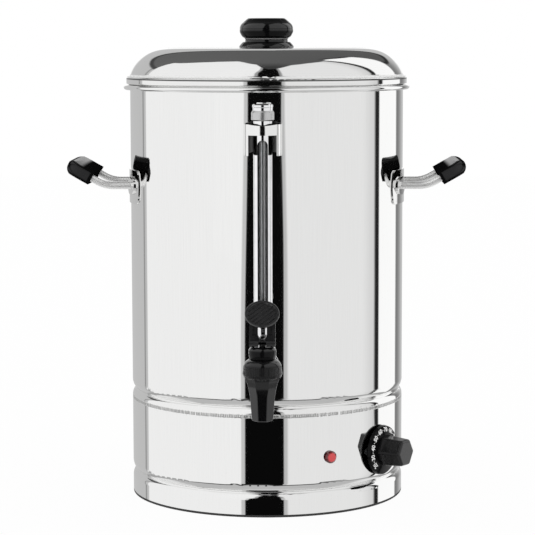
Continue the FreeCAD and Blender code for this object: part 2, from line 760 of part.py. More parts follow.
def tap_spring():
    """Compression spring between the seat cup and the bonnet."""
    low = SEAT_Z + CUP_HEIGHT + 0.2 + SPRING_WIRE_RADIUS
    high = BODY_TOP_Z - 3.2 - SPRING_WIRE_RADIUS
    path = Part.makeHelix(SPRING_PITCH, high - low, SPRING_RADIUS)
    path.translate(V(0, 0, low))
    section = Part.Wire(Part.Circle(V(SPRING_RADIUS, 0, low), Y_AXIS, SPRING_WIRE_RADIUS).toShape())
    return at_tap(Part.Wire(path.Edges).makePipeShell([section], True, True))


def tap_lever():
    """Lever: two arms joined by a web with a window, a forked nose, and a tilted thumb pad with ribs."""
    half = LEVER_WIDTH / 2
    foot = LEVER_FOOT_RADIUS
    reach = LEVER_FOOT_REACH
    back = 2.6
    front = back - LEVER_DEPTH
    turn = math.sqrt(0.5)
    pad_foot_z = PAD_Z - 3.0

    def side(x_low, x_high):
        """One arm, drawn in the Y-Z plane and extruded along X."""
        pivot = PIVOT_Z
        points = [
            (back, pad_foot_z),
            (back, pivot),
            (back * turn, pivot - back * turn),
            (0, pivot - foot),
            (-reach, pivot - foot),
            (-reach - foot, pivot),
            (-reach, pivot + foot),
            (front, pivot + foot + 2.5),
            (front, pad_foot_z),
        ]
        p = [V(x_low, y, z) for y, z in points]
        nose = Part.Arc(p[4], p[5], p[6]).toShape()
        heel = Part.Arc(p[1], p[2], p[3]).toShape()
        ends = ((0, 1), (3, 4), (6, 7), (7, 8), (8, 0))
        lines = [Part.LineSegment(p[i], p[j]).toShape() for i, j in ends]
        wire = Part.Wire([lines[0], heel, lines[1], nose, lines[2], lines[3], lines[4]])
        return Part.Face(wire).extrude(V(x_high - x_low, 0, 0))

    arms = [side(-half, -half + LEVER_ARM_THICKNESS), side(half - LEVER_ARM_THICKNESS, half)]
    web = block((-half + 1, half - 1), (-1.6, back), (LEVER_BAR_Z, pad_foot_z))
    nose_room = block((-half, half), (-20, -LEVER_BRIDGE_GAP), (PIVOT_Z - 10, LEVER_BAR_Z))
    bridge_room = block((-half, half), (-20, -1.5), (LEVER_BAR_Z, LEVER_BRIDGE_TOP_Z))
    bridge = side(-half, half).common(nose_room.fuse(bridge_room))
    fork = block((-LEVER_FORK / 2, LEVER_FORK / 2), (-20, 0), (PIVOT_Z - 10, PIVOT_Z + 1.2))
    window = long_slot(LEVER_WINDOW_WIDTH, LEVER_WINDOW_FOOT_Z, LEVER_WINDOW_TOP_Z, -10, 10)
    rim = PAD_RADIUS
    pad = turned(
        (0, -PAD_THICKNESS),
        (rim * 0.62, -PAD_THICKNESS),
        ((rim * 0.9, -PAD_THICKNESS * 0.6), (rim, -1.0)),
        (rim, -0.4),
        (rim - 0.5, 0),
        (rim - 2.2, 0),
        (rim - 2.8, -0.8),
        (0, -0.4),
    )
    field = rod(rim - 2.6, -0.9, -0.1)
    ribs = []
    for i in range(-3, 4):
        middle = i * PAD_RIB_PITCH
        rib = block((-rim, rim), (middle - PAD_RIB_WIDTH / 2, middle + PAD_RIB_WIDTH / 2), (-1, 0))
        rib.rotate(ORIGIN, Z_AXIS, 45)
        ribs.append(rib.common(field))
    pad = pad.fuse(ribs)
    pad.rotate(ORIGIN, X_AXIS, PAD_TILT)
    pad.translate(V(0, TAP_OUT - PAD_OUT, PAD_Z))
    lever = arms[0].fuse([arms[1], web, bridge.cut(fork)]).cut(window)
    above_pad = Part.makeBox(60, 60, 30, V(-30, -30, 0))
    above_pad.rotate(ORIGIN, X_AXIS, PAD_TILT)
    above_pad.translate(V(0, TAP_OUT - PAD_OUT, PAD_Z - 1.2))
    pin_hole = Part.makeCylinder(PIN_RADIUS, 40, V(-20, 0, PIVOT_Z), X_AXIS)
    lever = lever.cut(above_pad).fuse(pad).cut(pin_hole)
    return at_tap(lever.removeSplitter())


def lever_pin():
    """Steel pin through both arms and the stem eye."""
    length = LEVER_WIDTH - 0.6
    pin = Part.makeCylinder(PIN_RADIUS - 0.03, length, V(-length / 2, 0, PIVOT_Z), X_AXIS)
    return at_tap(pin)


# Side handles, made on the +X side


def handle_plate():
    """Pressed plate that hugs the wall, with bowed ends and an oval boss at each leg."""
    half = PLATE_HALF_WIDTH
    low = HANDLE_Z - 1.0 - PLATE_HEIGHT / 2
    high = low + PLATE_HEIGHT
    corner = 5.0
    turn = corner * (1 - math.sqrt(0.5))
    mid = (low + high) / 2
    edge = half - PLATE_BOW
    outline = flat(
        (-edge + corner, low),
        (edge - corner, low),
        ((edge - turn, low + turn), (edge, low + corner)),
        ((half, mid), (edge, high - corner)),
        ((edge - turn, high - turn), (edge - corner, high)),
        (-edge + corner, high),
        ((-edge + turn, high - turn), (-edge, high - corner)),
        ((-half, mid), (-edge, low + corner)),
        ((-edge + turn, low + turn), (-edge + corner, low)),
    )
    blank = outline.extrude(V(0, 60, 0))
    boss_blanks = []
    for side in (-1, 1):
        oval = Part.Face(Part.Wire(Part.Ellipse(ORIGIN, BOSS_WIDTH / 2, BOSS_HEIGHT / 2).toShape()))
        oval.rotate(ORIGIN, X_AXIS, 90)
        oval.translate(V(side * LEG_SPREAD, 0, HANDLE_Z))
        boss_blanks.append(oval.extrude(V(0, 60, 0)))
    pieces = []
    for shape in [blank] + boss_blanks:
        shape.translate(V(0, 80, 0))
        shape.rotate(ORIGIN, Z_AXIS, -90)
    inner = WALL_RADIUS + 0.02
    sheet = ring(inner, WALL_RADIUS + PLATE_SHEET)
    raised = ring(inner, WALL_RADIUS + PLATE_SHEET + BOSS_RISE)
    pieces = [shape.common(raised) for shape in boss_blanks]
    return blank.common(sheet).fuse(pieces).removeSplitter()


def ring(inner, outer):
    """A plain tube round the body, at the height of the handles."""
    low = HANDLE_Z - 40
    return rod(outer, low, low + 80).cut(rod(inner, low - 1, low + 81))


def handle_rod(plate):
    """One bent rod: both legs and the bar inside the grip; its ends seat on the bosses of the plate."""
    slope = math.radians(GRIP_TILT)
    along = ROD_INSIDE_GRIP * math.cos(slope)
    rise = ROD_INSIDE_GRIP * math.sin(slope)
    top_x = GRIP_START_OUT + along
    top_z = HANDLE_Z + (GRIP_START_OUT - ROD_KINK_OUT) * math.tan(slope) + rise
    start_x = WALL_RADIUS - 4.0
    points = [
        V(start_x, -LEG_SPREAD, HANDLE_Z),
        V(ROD_KINK_OUT, -LEG_SPREAD, HANDLE_Z),
        V(top_x, -LEG_SPREAD, top_z),
        V(top_x, LEG_SPREAD, top_z),
        V(ROD_KINK_OUT, LEG_SPREAD, HANDLE_Z),
        V(start_x, LEG_SPREAD, HANDLE_Z),
    ]
    bends = [ROD_KINK_BEND, ROD_CORNER_BEND, ROD_CORNER_BEND, ROD_KINK_BEND]
    bar = bent_bar(points, bends, ROD_RADIUS)
    behind = rod(WALL_RADIUS + PLATE_SHEET + BOSS_RISE, HANDLE_Z - 20, HANDLE_Z + 20)
    return bar.cut([behind, plate])


def bent_bar(points, bends, radius):
    """A round bar along straight runs joined by tangent arcs, each with its own radius."""
    edges = []
    here = points[0]
    for before, corner, after, bend in zip(points, points[1:], points[2:], bends):
        back = (before - corner).normalize()
        onward = (after - corner).normalize()
        half = back.getAngle(onward) / 2
        reach = bend / math.tan(half)
        start = corner + back * reach
        end = corner + onward * reach
        middle = corner + (back + onward).normalize() * (bend / math.sin(half) - bend)
        edges.append(Part.LineSegment(here, start).toShape())
        edges.append(Part.Arc(start, middle, end).toShape())
        here = end
    edges.append(Part.LineSegment(here, points[-1]).toShape())
    section = Part.Wire(Part.Circle(points[0], points[1] - points[0], radius).toShape())
    return Part.Wire(edges).makePipeShell([section], True, False)


def grip_outline(inset):
    """End view of the grip: flat where the legs enter, with a long round nose at the outer end."""
    half = GRIP_THICKNESS / 2 - inset
    nose = GRIP_NOSE
    middle = GRIP_LENGTH - inset - nose
    end = oval((middle, 0), nose, half, -90, 90, 6)
    return flat((inset, -half), (middle, -half), *end, (inset, half))


def grip_plan(inset):
    """Plan of the grip as a solid: straight where the legs enter, with two long round outer corners."""
    y = GRIP_HALF_WIDTH - inset
    depth = GRIP_CORNER_DEPTH
    width = GRIP_CORNER_WIDTH
    x = GRIP_LENGTH - inset - depth
    near = oval((x, width - y), depth, width, -90, 0, 3)
    far = oval((x, y - width), depth, width, 0, 90, 3)
    plan = flat((0, -y), (x, -y), *near, (x + depth, y - width), *far, (0, y))
    plan.rotate(ORIGIN, X_AXIS, -90)
    return shift(plan.extrude(V(0, 0, 2 * GRIP_THICKNESS)), 0, 0, -GRIP_THICKNESS)


def grip_crown():
    """Solid that thins the grip a little towards its two ends."""
    y = GRIP_HALF_WIDTH
    middle = GRIP_THICKNESS / 2
    end = middle - GRIP_CROWN
    lens = flat((-y, -end), ((0, -middle), (y, -end)), (y, end), ((0, middle), (-y, end)))
    lens = lens.extrude(V(0, -2 * GRIP_LENGTH, 0))
    lens.rotate(ORIGIN, Z_AXIS, 90)
    return lens


def grip(bar):
    """Moulded grip with a recessed panel round each end and the channel for the rod."""
    body = grip_outline(0).extrude(V(0, 2 * GRIP_HALF_WIDTH, 0))
    body = shift(body, 0, -GRIP_HALF_WIDTH, 0).common(grip_plan(0)).common(grip_crown())
    panel = grip_outline(GRIP_PANEL_INSET).extrude(V(0, 2 * GRIP_HALF_WIDTH, 0))
    panel = shift(panel, 0, -GRIP_HALF_WIDTH, 0).cut(grip_plan(GRIP_PANEL_DEPTH))
    body = body.cut(panel)
    body.rotate(ORIGIN, Y_AXIS, -GRIP_TILT)
    rise = (GRIP_START_OUT - ROD_KINK_OUT) * math.tan(math.radians(GRIP_TILT))
    body.translate(V(GRIP_START_OUT, 0, HANDLE_Z + rise))
    return body.cut(bar)


# Thermostat and pilot lamp


def thermostat_knob():
    """Dial with a conical face and a tapered hexagonal grip, moulded in one; hollow at the back."""
    low = DIAL_GAP
    face = DIAL_GAP + DIAL_THICKNESS
    edge = DIAL_RADIUS - 0.6
    dial = turned(
        (0, low),
        (edge, low),
        (DIAL_RADIUS, low + 0.8),
        (edge, face - DIAL_CONE_DROP),
        (DIAL_FLAT_RADIUS, face),
        (0, face),
    )
    root = polygon_wire(6, GRIP_HEX_ROOT, GRIP_HEX_CORNER, face - 1.0)
    end = polygon_wire(6, GRIP_HEX_END, GRIP_HEX_CORNER, KNOB_REACH)
    handle = Part.makeLoft([root, end], True, True)
    rims = [e for e in handle.Edges if e.BoundBox.ZMin > KNOB_REACH - 0.01]
    handle = handle.makeFillet(GRIP_HEX_EDGE, rims)
    recess = rod(DIAL_RADIUS - 2.4, low - 1, low + 2.6)
    shaft_hole = rod(SHAFT_RADIUS + 0.02, 0, 20)
    knob = dial.fuse(handle).cut([recess, shaft_hole])
    return on_wall(knob.removeSplitter(), THERMOSTAT_ANGLE, THERMOSTAT_Z)


def thermostat_shaft():
    """Steel shaft that carries the knob."""
    return on_wall(rod(SHAFT_RADIUS, -12, 18), THERMOSTAT_ANGLE, THERMOSTAT_Z)


def thermostat_body():
    """Switch body behind the wall, with its mounting plate, blade terminals and capillary boss."""
    plate = block((-20, 20), (-14, 14), (-9.5, -8))
    body = rod(16, -30, -9).common(block((-14, 14), (-16, 16), (-30, -9)))
    blades = [block((x - 0.4, x + 0.4), (-3.2, 3.2), (-38, -30)) for x in (-8, 8)]
    solid = plate.fuse([body] + blades)
    bush = rod(SHAFT_RADIUS + 0.05, -13, 0)
    holes = [shift(rod(1.6, -12, 0), side * THERMOSTAT_SCREW_OUT, 0, 0) for side in (-1, 1)]
    return on_wall(solid.cut([bush] + holes), THERMOSTAT_ANGLE, THERMOSTAT_Z)


def thermostat_screws():
    """Two screws under the dial that hold the switch body through spacers."""
    pieces = []
    for side in (-1, 1):
        head = rod(3.4, -0.45, 1.2)
        shank = rod(1.5, -10, 0)
        spacer = rod(3.2, -7.9, -2.2)
        pieces.append(shift(head.fuse([shank, spacer]), side * THERMOSTAT_SCREW_OUT, 0, 0))
    return on_wall(Part.makeCompound(pieces), THERMOSTAT_ANGLE, THERMOSTAT_Z)


def lamp_lens():
    """Red lens: round body with a sloping edge and a flat front."""
    out = LAMP_RADIUS
    reach = LAMP_REACH
    lens = turned((0, 0.3), (out, 0.3), (out, reach - 1.8), (out - 1.6, reach), (0, reach + 0.3))
    return on_wall(lens, LAMP_ANGLE, LAMP_Z)


def lamp_body():
    """Lamp holder behind the wall, with two blade terminals."""
    barrel = rod(LAMP_RADIUS - 0.6, -26, 0.25)
    blades = [block((x - 0.4, x + 0.4), (-2, 2), (-33, -26)) for x in (-2.4, 2.4)]
    return on_wall(barrel.fuse(blades), LAMP_ANGLE, LAMP_Z)


def lamp_clip():
    """Spring ring that holds the lamp from behind."""
    ring_clip = rod(8.0, -3.6, -2.4).cut(rod(LAMP_RADIUS - 0.55, -5, 0))
    return on_wall(ring_clip, LAMP_ANGLE, LAMP_Z)


def thermostat_bulb():
    """Sensing bulb under the heater plate with its capillary to the switch."""
    z = TANK_FLOOR_Z - PAN_SHEET - HEATER_THICKNESS - 3.5
    bulb = Part.makeCylinder(3.0, 50, V(-25, -26, z), X_AXIS)
    radial = math.radians(THERMOSTAT_ANGLE)
    boss_out = WALL_RADIUS - 30.5
    boss = V(boss_out * math.sin(radial), -boss_out * math.cos(radial), THERMOSTAT_Z)
    inward = V(-math.sin(radial), math.cos(radial), 0)
    points = [
        V(24.5, -26, z),
        V(38, -26, z),
        V(46, -30, z - 14),
        boss + inward * 16 + V(0, 0, 4),
        boss + inward * 8,
        boss,
    ]
    capillary = bent_bar(points, [5.0, 8.0, 6.0, 8.0], 0.9)
    return bulb.fuse(capillary)


# Heater under the tank


def heater_plate():
    """Aluminium plate that spreads the heat, clamped under the tank floor by three studs."""
    top = TANK_FLOOR_Z - PAN_SHEET - 0.05
    low = top - HEATER_THICKNESS
    plate = rod(HEATER_RADIUS, low, top)
    holes = around(shift(rod(2.8, low - 1, top + 1), STUD_CIRCLE_RADIUS, 0, 0), 3, 90)
    return plate.cut(holes)


def heating_element():
    """Tubular element bent to an open ring under the plate, with its two cold ends turned down."""
    z = TANK_FLOOR_Z - PAN_SHEET - HEATER_THICKNESS - ELEMENT_RADIUS - 0.1
    gap = 24.0
    span = 360.0 - gap
    bar = Part.makeTorus(ELEMENT_RING_RADIUS, ELEMENT_RADIUS, V(0, 0, z), Z_AXIS, 0, 360, span)
    bar.rotate(ORIGIN, Z_AXIS, 90 + gap / 2)
    ends = []
    for side in (-1, 1):
        angle = math.radians(90 + side * gap / 2)
        x = ELEMENT_RING_RADIUS * math.cos(angle)
        y = ELEMENT_RING_RADIUS * math.sin(angle)
        ends.append(Part.makeSphere(ELEMENT_RADIUS, V(x, y, z)))
        ends.append(Part.makeCylinder(ELEMENT_RADIUS, 18, V(x, y, z - 18)))
        ends.append(Part.makeCylinder(1.2, 8, V(x, y, z - 26)))
    return bar.fuse(ends)


def heater_studs():
    """Studs welded under the tank floor."""
    top = TANK_FLOOR_Z - PAN_SHEET - 0.02
    return Part.makeCompound(around(shift(rod(2.4, top - 18, top), STUD_CIRCLE_RADIUS, 0, 0), 3, 90))


def heater_nuts():
    """Nuts that clamp the heater plate."""
    top = TANK_FLOOR_Z - PAN_SHEET - HEATER_THICKNESS - 0.1
    nut = hexagon(8.0, top - 4, top).cut(rod(2.45, top - 5, top + 1))
    return Part.makeCompound(around(shift(nut, STUD_CIRCLE_RADIUS, 0, 0), 3, 90))


def thermal_cutout():
    """Boil-dry cut-out: a sealed bimetal can on a flange, with two blades."""
    top = TANK_FLOOR_Z - PAN_SHEET - HEATER_THICKNESS - 0.1
    flange = block((-14, 14), (-5, 5), (top - 1, top))
    can = rod(8, top - 11, top)
    blades = [block((x - 0.4, x + 0.4), (-3, 3), (top - 19, top - 11)) for x in (-4.5, 4.5)]
    return flange.fuse([can] + blades)


# Base


def base_plate():
    """Flat closing plate with vent slots and screw holes."""
    low = PLATE_Z
    high = PLATE_Z + BASE_PLATE_SHEET
    plate = rod(BASE_PLATE_RADIUS, low, high)
    tab_holes = around(shift(rod(1.8, low - 1, high + 1), BASE_PLATE_RADIUS - 8, 0, 0), TAB_COUNT, 90)
    slot = block((22, 50), (-2, 2), (low - 1, high + 1))
    slot = slot.fuse([shift(rod(2, low - 1, high + 1), x, 0, 0) for x in (22, 50)])
    return plate.cut(tab_holes + around(slot, 8, 22.5))


def base_tabs():
    """Angle tabs welded inside the base ring; the base plate is screwed up into them."""
    low = PLATE_Z + BASE_PLATE_SHEET + 0.05
    out = WALL_RADIUS - SHEET - 0.05
    high = low + 7
    half = TAB_WIDTH / 2
    leg = rod(out, low, high).cut(rod(out - TAB_SHEET, low - 1, high + 1))
    leg = leg.common(block((80, 120), (-half, half), (low, high)))
    shelf = rod(out, low, low + TAB_SHEET)
    shelf = shelf.common(block((out - 16, 120), (-half, half), (low, low + TAB_SHEET)))
    tab = leg.fuse(shelf).cut(shift(rod(1.5, low - 1, low + 3), BASE_PLATE_RADIUS - 8, 0, 0))
    return Part.makeCompound(around(tab.removeSplitter(), TAB_COUNT, 90))


def base_screws():
    """Screws through the base plate into the tabs."""
    screw = rod(3.0, PLATE_Z - 1.8, PLATE_Z - 0.02).fuse(rod(1.45, PLATE_Z - 1, PLATE_Z + 7))
    return Part.makeCompound(around(shift(screw, BASE_PLATE_RADIUS - 8, 0, 0), TAB_COUNT, 90))


def base_edge_trim():
    """Rubber ring under the base edge; its inner leg grips the shell from inside."""
    leg = WALL_RADIUS - SHEET - FIT_GAP
    soft = TRIM_ROUND * (1 - math.sqrt(0.5))
    return turned(
        (TRIM_INNER_RADIUS, 0),
        (WALL_RADIUS - TRIM_ROUND, 0),
        ((WALL_RADIUS - soft, soft), (WALL_RADIUS, TRIM_ROUND)),
        (WALL_RADIUS, TRIM_TOP_Z),
        (leg, TRIM_TOP_Z),
        (leg, TRIM_LEG_TOP_Z),
        (TRIM_INNER_RADIUS, TRIM_LEG_TOP_Z),
    )


def terminal_block():
    """Ceramic terminal block with three ways, screwed to the base plate near the gland."""
    low = PLATE_Z + BASE_PLATE_SHEET + 0.05
    body = block((-22, 22), (66, 82), (low, low + 14))
    ways = [Part.makeCylinder(2.4, 20, V(x, 64, low + 7), Y_AXIS) for x in (-14, 0, 14)]
    screws = [rod(1.6, low + 9, low + 15).translate(V(x, y, 0)) for x in (-14, 0, 14) for y in (70, 78)]
    return body.cut(ways).cut(screws)


def cable_gland():
    """Gland body through the wall, with its hexagon and the domed clamping nut."""
    body = rod(GLAND_THREAD_RADIUS, -8, 6).fuse(hexagon(19.0, 0.8, 6))
    dome = turned(
        (0, 6),
        (9.0, 6),
        (9.4, 7),
        (9.4, 12),
        ((8.8, 15.2), (6.4, GLAND_REACH - 0.6)),
        (5.6, GLAND_REACH),
        (0, GLAND_REACH),
    )
    bore = rod(GLAND_BORE_RADIUS, -9, GLAND_REACH + 1)
    stem_bore = rod(GLAND_STEM_BORE_RADIUS, -9, GLAND_STEM_BORE_TO)
    return on_wall(body.fuse(dome).cut([bore, stem_bore]).removeSplitter(), 180, GLAND_Z)


def gland_nut():
    """Lock nut of the gland, inside the wall."""
    nut = hexagon(20.0, -6.6, -2.2).cut(rod(GLAND_THREAD_RADIUS + 0.02, -8, 0))
    return on_wall(nut, 180, GLAND_Z)


def build():
    """Builds and writes every sub-part."""
    os.makedirs("parts", exist_ok=True)
    save("body_shell", body_shell())
    save("tank_bottom", tank_bottom())
    save("lid_shell", lid_shell())
    save("lid_ring", lid_ring())
    save("lid_knob", lid_knob())
    save("lid_knob_screw", lid_screw())
    save("lid_knob_washer", lid_washer())
    save("gauge_glass", gauge_glass())
    save("gauge_guard", gauge_guard())
    save("gauge_seals", gauge_seals())
    save("gauge_collar", gauge_collar())
    save("gauge_nut", gauge_nut())
    save("gauge_cap", gauge_cap())
    save("gauge_bracket", gauge_bracket())
    save("tap_shank", tap_shank())
    save("tap_washers", tap_washers())
    save("tap_lock_nut", tap_lock_nut())
    save("tap_body", tap_body())
    save("tap_bonnet", tap_bonnet())
    save("tap_stem", tap_stem())
    save("tap_seat_cup", seat_cup())
    save("tap_spring", tap_spring())
    save("tap_lever", tap_lever())
    save("tap_lever_pin", lever_pin())
    plate = handle_plate()
    bar = handle_rod(plate)
    right_grip = grip(bar)
    for name, piece in (("handle_plate", plate), ("handle_rod", bar), ("handle_grip", right_grip)):
        save("right_" + name, piece)
        save("left_" + name, mirrored(piece))
    save("thermostat_knob", thermostat_knob())
    save("thermostat_shaft", thermostat_shaft())
    save("thermostat_body", thermostat_body())
    save("thermostat_screws", thermostat_screws())
    save("thermostat_bulb", thermostat_bulb())
    save("pilot_lens", lamp_lens())
    save("pilot_body", lamp_body())
    save("pilot_clip", lamp_clip())
    save("heater_plate", heater_plate())
    save("heating_element", heating_element())
    save("heater_studs", heater_studs())
    save("heater_nuts", heater_nuts())
    save("thermal_cutout", thermal_cutout())
    save("base_plate", base_plate())
    save("base_tabs", base_tabs())
    save("base_screws", base_screws())
    save("base_edge_trim", base_edge_trim())
    save("terminal_block", terminal_block())
    save("cable_gland", cable_gland())
    save("cable_gland_nut", gland_nut())


build()
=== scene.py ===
# %% [markdown]
# # A hot water urn on a white sweep
#
# The frame that was packed from the construction gives every piece of the urn in metres, with the
# exact surface normals of the solids. This file adds what makes it a picture: a camera, a studio, a
# material for every piece, and the small marks that are printed, moulded or welded on.

# %% Load the frame
import json
import math

import bmesh
import bpy
from mathutils import Matrix


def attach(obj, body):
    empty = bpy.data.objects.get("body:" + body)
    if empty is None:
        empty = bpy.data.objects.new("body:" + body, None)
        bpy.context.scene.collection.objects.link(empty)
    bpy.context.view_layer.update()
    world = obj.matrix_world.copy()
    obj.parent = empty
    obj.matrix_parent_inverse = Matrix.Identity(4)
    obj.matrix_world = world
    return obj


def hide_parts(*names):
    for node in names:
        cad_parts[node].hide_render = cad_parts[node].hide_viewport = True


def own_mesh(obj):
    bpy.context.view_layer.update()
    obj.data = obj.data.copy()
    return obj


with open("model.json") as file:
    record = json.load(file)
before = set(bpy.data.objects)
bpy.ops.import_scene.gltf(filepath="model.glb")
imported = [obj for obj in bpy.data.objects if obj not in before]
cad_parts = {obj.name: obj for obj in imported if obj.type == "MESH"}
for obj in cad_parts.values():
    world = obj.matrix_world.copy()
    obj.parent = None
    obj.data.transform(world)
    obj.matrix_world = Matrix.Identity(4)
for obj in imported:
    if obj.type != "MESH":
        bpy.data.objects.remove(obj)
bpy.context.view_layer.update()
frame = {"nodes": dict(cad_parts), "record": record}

nodes = frame["nodes"]
scene = bpy.context.scene

# %% Places on the urn that several finishes use, in millimetres
WALL_RADIUS = 115.0
TAP_OUT = 163.0
GAUGE_OUT = 137.0
DIAL_ANGLE = math.radians(55.0)
LAMP_ANGLE = math.radians(27.5)
print("tap", TAP_OUT, "mm in front of the axis")

# %% [markdown]
# ## Camera
#
# The picture was taken with a long lens from 1.75 metres, a little above the lid, so the sides of the
# urn converge slightly towards the counter.

# %% Camera
DISTANCE = 1.7541
EYE_HEIGHT = 0.3862
EYE_TURN = math.radians(1.3)
LOOK_DOWN = math.radians(6.364)
ROLL = math.radians(0.13)
FOCAL_PIXELS = 2069.3
PICTURE = 535
LENS_AXIS_COLUMN = 266.46
SENSOR = 36.0

camera = bpy.data.objects.new("camera", bpy.data.cameras.new("camera"))
scene.collection.objects.link(camera)
scene.camera = camera
camera.data.sensor_width = SENSOR
camera.data.lens = FOCAL_PIXELS * SENSOR / PICTURE
camera.data.shift_x = (PICTURE / 2 - LENS_AXIS_COLUMN) / PICTURE
camera.location = (DISTANCE * math.sin(EYE_TURN), -DISTANCE * math.cos(EYE_TURN), EYE_HEIGHT)
camera.rotation_euler = (math.radians(90) - LOOK_DOWN, ROLL, EYE_TURN)
print("lens", round(camera.data.lens, 1), "mm")

# %% [markdown]
# ## Colours
#
# Blender's usual view rolls bright colours off, as film does. The plain view shows each colour as it
# is written here, so a grey of the studio can be set against the same grey in the picture.

# %% Colours as they are written
scene.view_settings.view_transform = "Standard"
print("view transform", scene.view_settings.view_transform)

# %% [markdown]
# ## Shader arithmetic
#
# A shader is a graph of nodes. `Value` wraps one output socket, so that a formula such as
# `0.05 + 0.02 * streaks` can be written as a formula and still becomes nodes.


# %% One small class for shader maths
class Value:
    """An output socket that takes part in arithmetic."""

    def __init__(self, socket):
        self.socket = socket
        self.tree = socket.id_data

    def node(self, kind, settings=None, inputs=None, output=0):
        """Adds any node to the same tree, fills its inputs and returns one of its outputs."""
        return add(self.tree, kind, settings, inputs, output)

    def maths(self, operation, *others):
        """A Math node with this value as its first input."""
        inputs = dict(enumerate((self,) + others))
        return self.node("ShaderNodeMath", {"operation": operation}, inputs)

    def __add__(self, other):
        return self.maths("ADD", other)

    def __mul__(self, other):
        return self.maths("MULTIPLY", other)

    def __sub__(self, other):
        return self.maths("SUBTRACT", other)

    def __truediv__(self, other):
        return self.maths("DIVIDE", other)

    def __rsub__(self, other):
        return (self * -1.0) + other

    def __rtruediv__(self, other):
        return self.maths("POWER", -1.0) * other

    def __pow__(self, other):
        return self.maths("POWER", other)

    __radd__ = __add__
    __rmul__ = __mul__

    def ramp(self, low, high, start=0.0, end=1.0):
        """Runs smoothly from start to end while this value runs from low to high."""
        settings = {"interpolation_type": "SMOOTHSTEP"}
        return self.node("ShaderNodeMapRange", settings, {0: self, 1: low, 2: high, 3: start, 4: end})

    def band(self, middle, half, soft):
        """One within a band around a middle value, zero outside."""
        away = (self - middle).maths("ABSOLUTE")
        return away.ramp(half - soft, half + soft, 1.0, 0.0)

    def noise_line(self, scale):
        """Random values between nought and one along this value."""
        inputs = {"W": self, "Scale": scale, "Detail": 2.0}
        return self.node("ShaderNodeTexNoise", {"noise_dimensions": "1D"}, inputs)

    def blend(self, low_colour, high_colour):
        """A colour between two colours, with this value as the share of the second."""
        inputs = {0: self, 6: paint(low_colour), 7: paint(high_colour)}
        return self.node("ShaderNodeMix", {"data_type": "RGBA"}, inputs, 2)


def paint(colour):
    """Three numbers as a colour, or a socket as it is."""
    if isinstance(colour, Value):
        return colour
    if isinstance(colour, (int, float)):
        colour = (colour, colour, colour)
    return (*colour, 1.0)


def add(tree, kind, settings=None, inputs=None, output=0):
    """Adds a node, sets its properties, and links or sets each input by name or number."""
    made = tree.nodes.new(kind)
    for name, value in (settings or {}).items():
        setattr(made, name, value)
    for name, value in (inputs or {}).items():
        if isinstance(value, Value):
            tree.links.new(value.socket, made.inputs[name])
        else:
            made.inputs[name].default_value = value
    return Value(made.outputs[output])


def empty_tree(owner):
    """The node tree of a material or a world, with nothing in it."""
    owner.use_nodes = True
    owner.node_tree.nodes.clear()
    return owner.node_tree


def finish_tree(tree, kind, shader):
    """Leads a shader to the output node of its tree."""
    outlet = tree.nodes.new(kind)
    tree.links.new(shader.socket, outlet.inputs["Surface"])


# %% Places on an object, in millimetres
class Place:
    """The position on a piece at rest, in millimetres, as x, y, z, angle from the tap and radius."""

    def __init__(self, tree):
        where = add(tree, "ShaderNodeTexCoord", output=3)
        scaled = {0: where, 3: 1000.0}
        self.point = add(tree, "ShaderNodeVectorMath", {"operation": "SCALE"}, scaled)
        self.x, self.y, self.z = (
            add(tree, "ShaderNodeSeparateXYZ", None, {0: self.point}, i) for i in range(3)
        )
        self.tree = tree

    def angle(self):
        """The angle about the urn's axis, in degrees, from the tap towards the dial."""
        return self.x.maths("ARCTAN2", self.y * -1.0) * math.degrees(1)

    def radius(self, x=0.0, y=0.0):
        """The distance from an upright line."""
        return ((self.x - x) ** 2 + (self.y - y) ** 2) ** 0.5

    def from_axis(self, centre, direction):
        """The distance from a slanted line through a point."""
        away = {0: self.point, 1: centre}
        offset = add(self.tree, "ShaderNodeVectorMath", {"operation": "SUBTRACT"}, away)
        both = {0: offset, 1: direction}
        crossed = add(self.tree, "ShaderNodeVectorMath", {"operation": "CROSS_PRODUCT"}, both)
        return add(self.tree, "ShaderNodeVectorMath", {"operation": "LENGTH"}, {0: crossed}, 1)

    def noise(self, scale, stretch=(1, 1, 1), detail=3.0, seed=0.0):
        """Soft random values between nought and one; scale is per millimetre."""
        warped = {0: self.point, 1: stretch}
        vector = add(self.tree, "ShaderNodeVectorMath", {"operation": "MULTIPLY"}, warped)
        inputs = {"Vector": vector, "W": seed, "Scale": scale, "Detail": detail}
        return add(self.tree, "ShaderNodeTexNoise", {"noise_dimensions": "4D"}, inputs)

    def streaks(self, scale, rise, seed=0.0):
        """Random streaks that run up the wall: fine round it, stretched by rise along it."""
        flat = {0: self.angle() * 2.0, 1: self.z / rise, 2: 0.0}
        vector = add(self.tree, "ShaderNodeCombineXYZ", None, flat)
        inputs = {"Vector": vector, "W": seed, "Scale": scale, "Detail": 4.0}
        return add(self.tree, "ShaderNodeTexNoise", {"noise_dimensions": "4D"}, inputs)


print("shader tools ready")


# %% A material from a recipe
def material(name, recipe):
    """Makes a Principled material; the recipe gets the place and returns the shader's inputs."""
    made = bpy.data.materials.new(name)
    tree = empty_tree(made)
    wanted = recipe(Place(tree))
    height = wanted.pop("height", None)
    depth = wanted.pop("depth", 0.0001)
    if height is not None:
        bump = {"Height": height, "Distance": depth, "Strength": 1.0}
        wanted["Normal"] = add(tree, "ShaderNodeBump", None, bump)
    surface = add(tree, "ShaderNodeBsdfPrincipled", None, wanted)
    finish_tree(tree, "ShaderNodeOutputMaterial", surface)
    return made


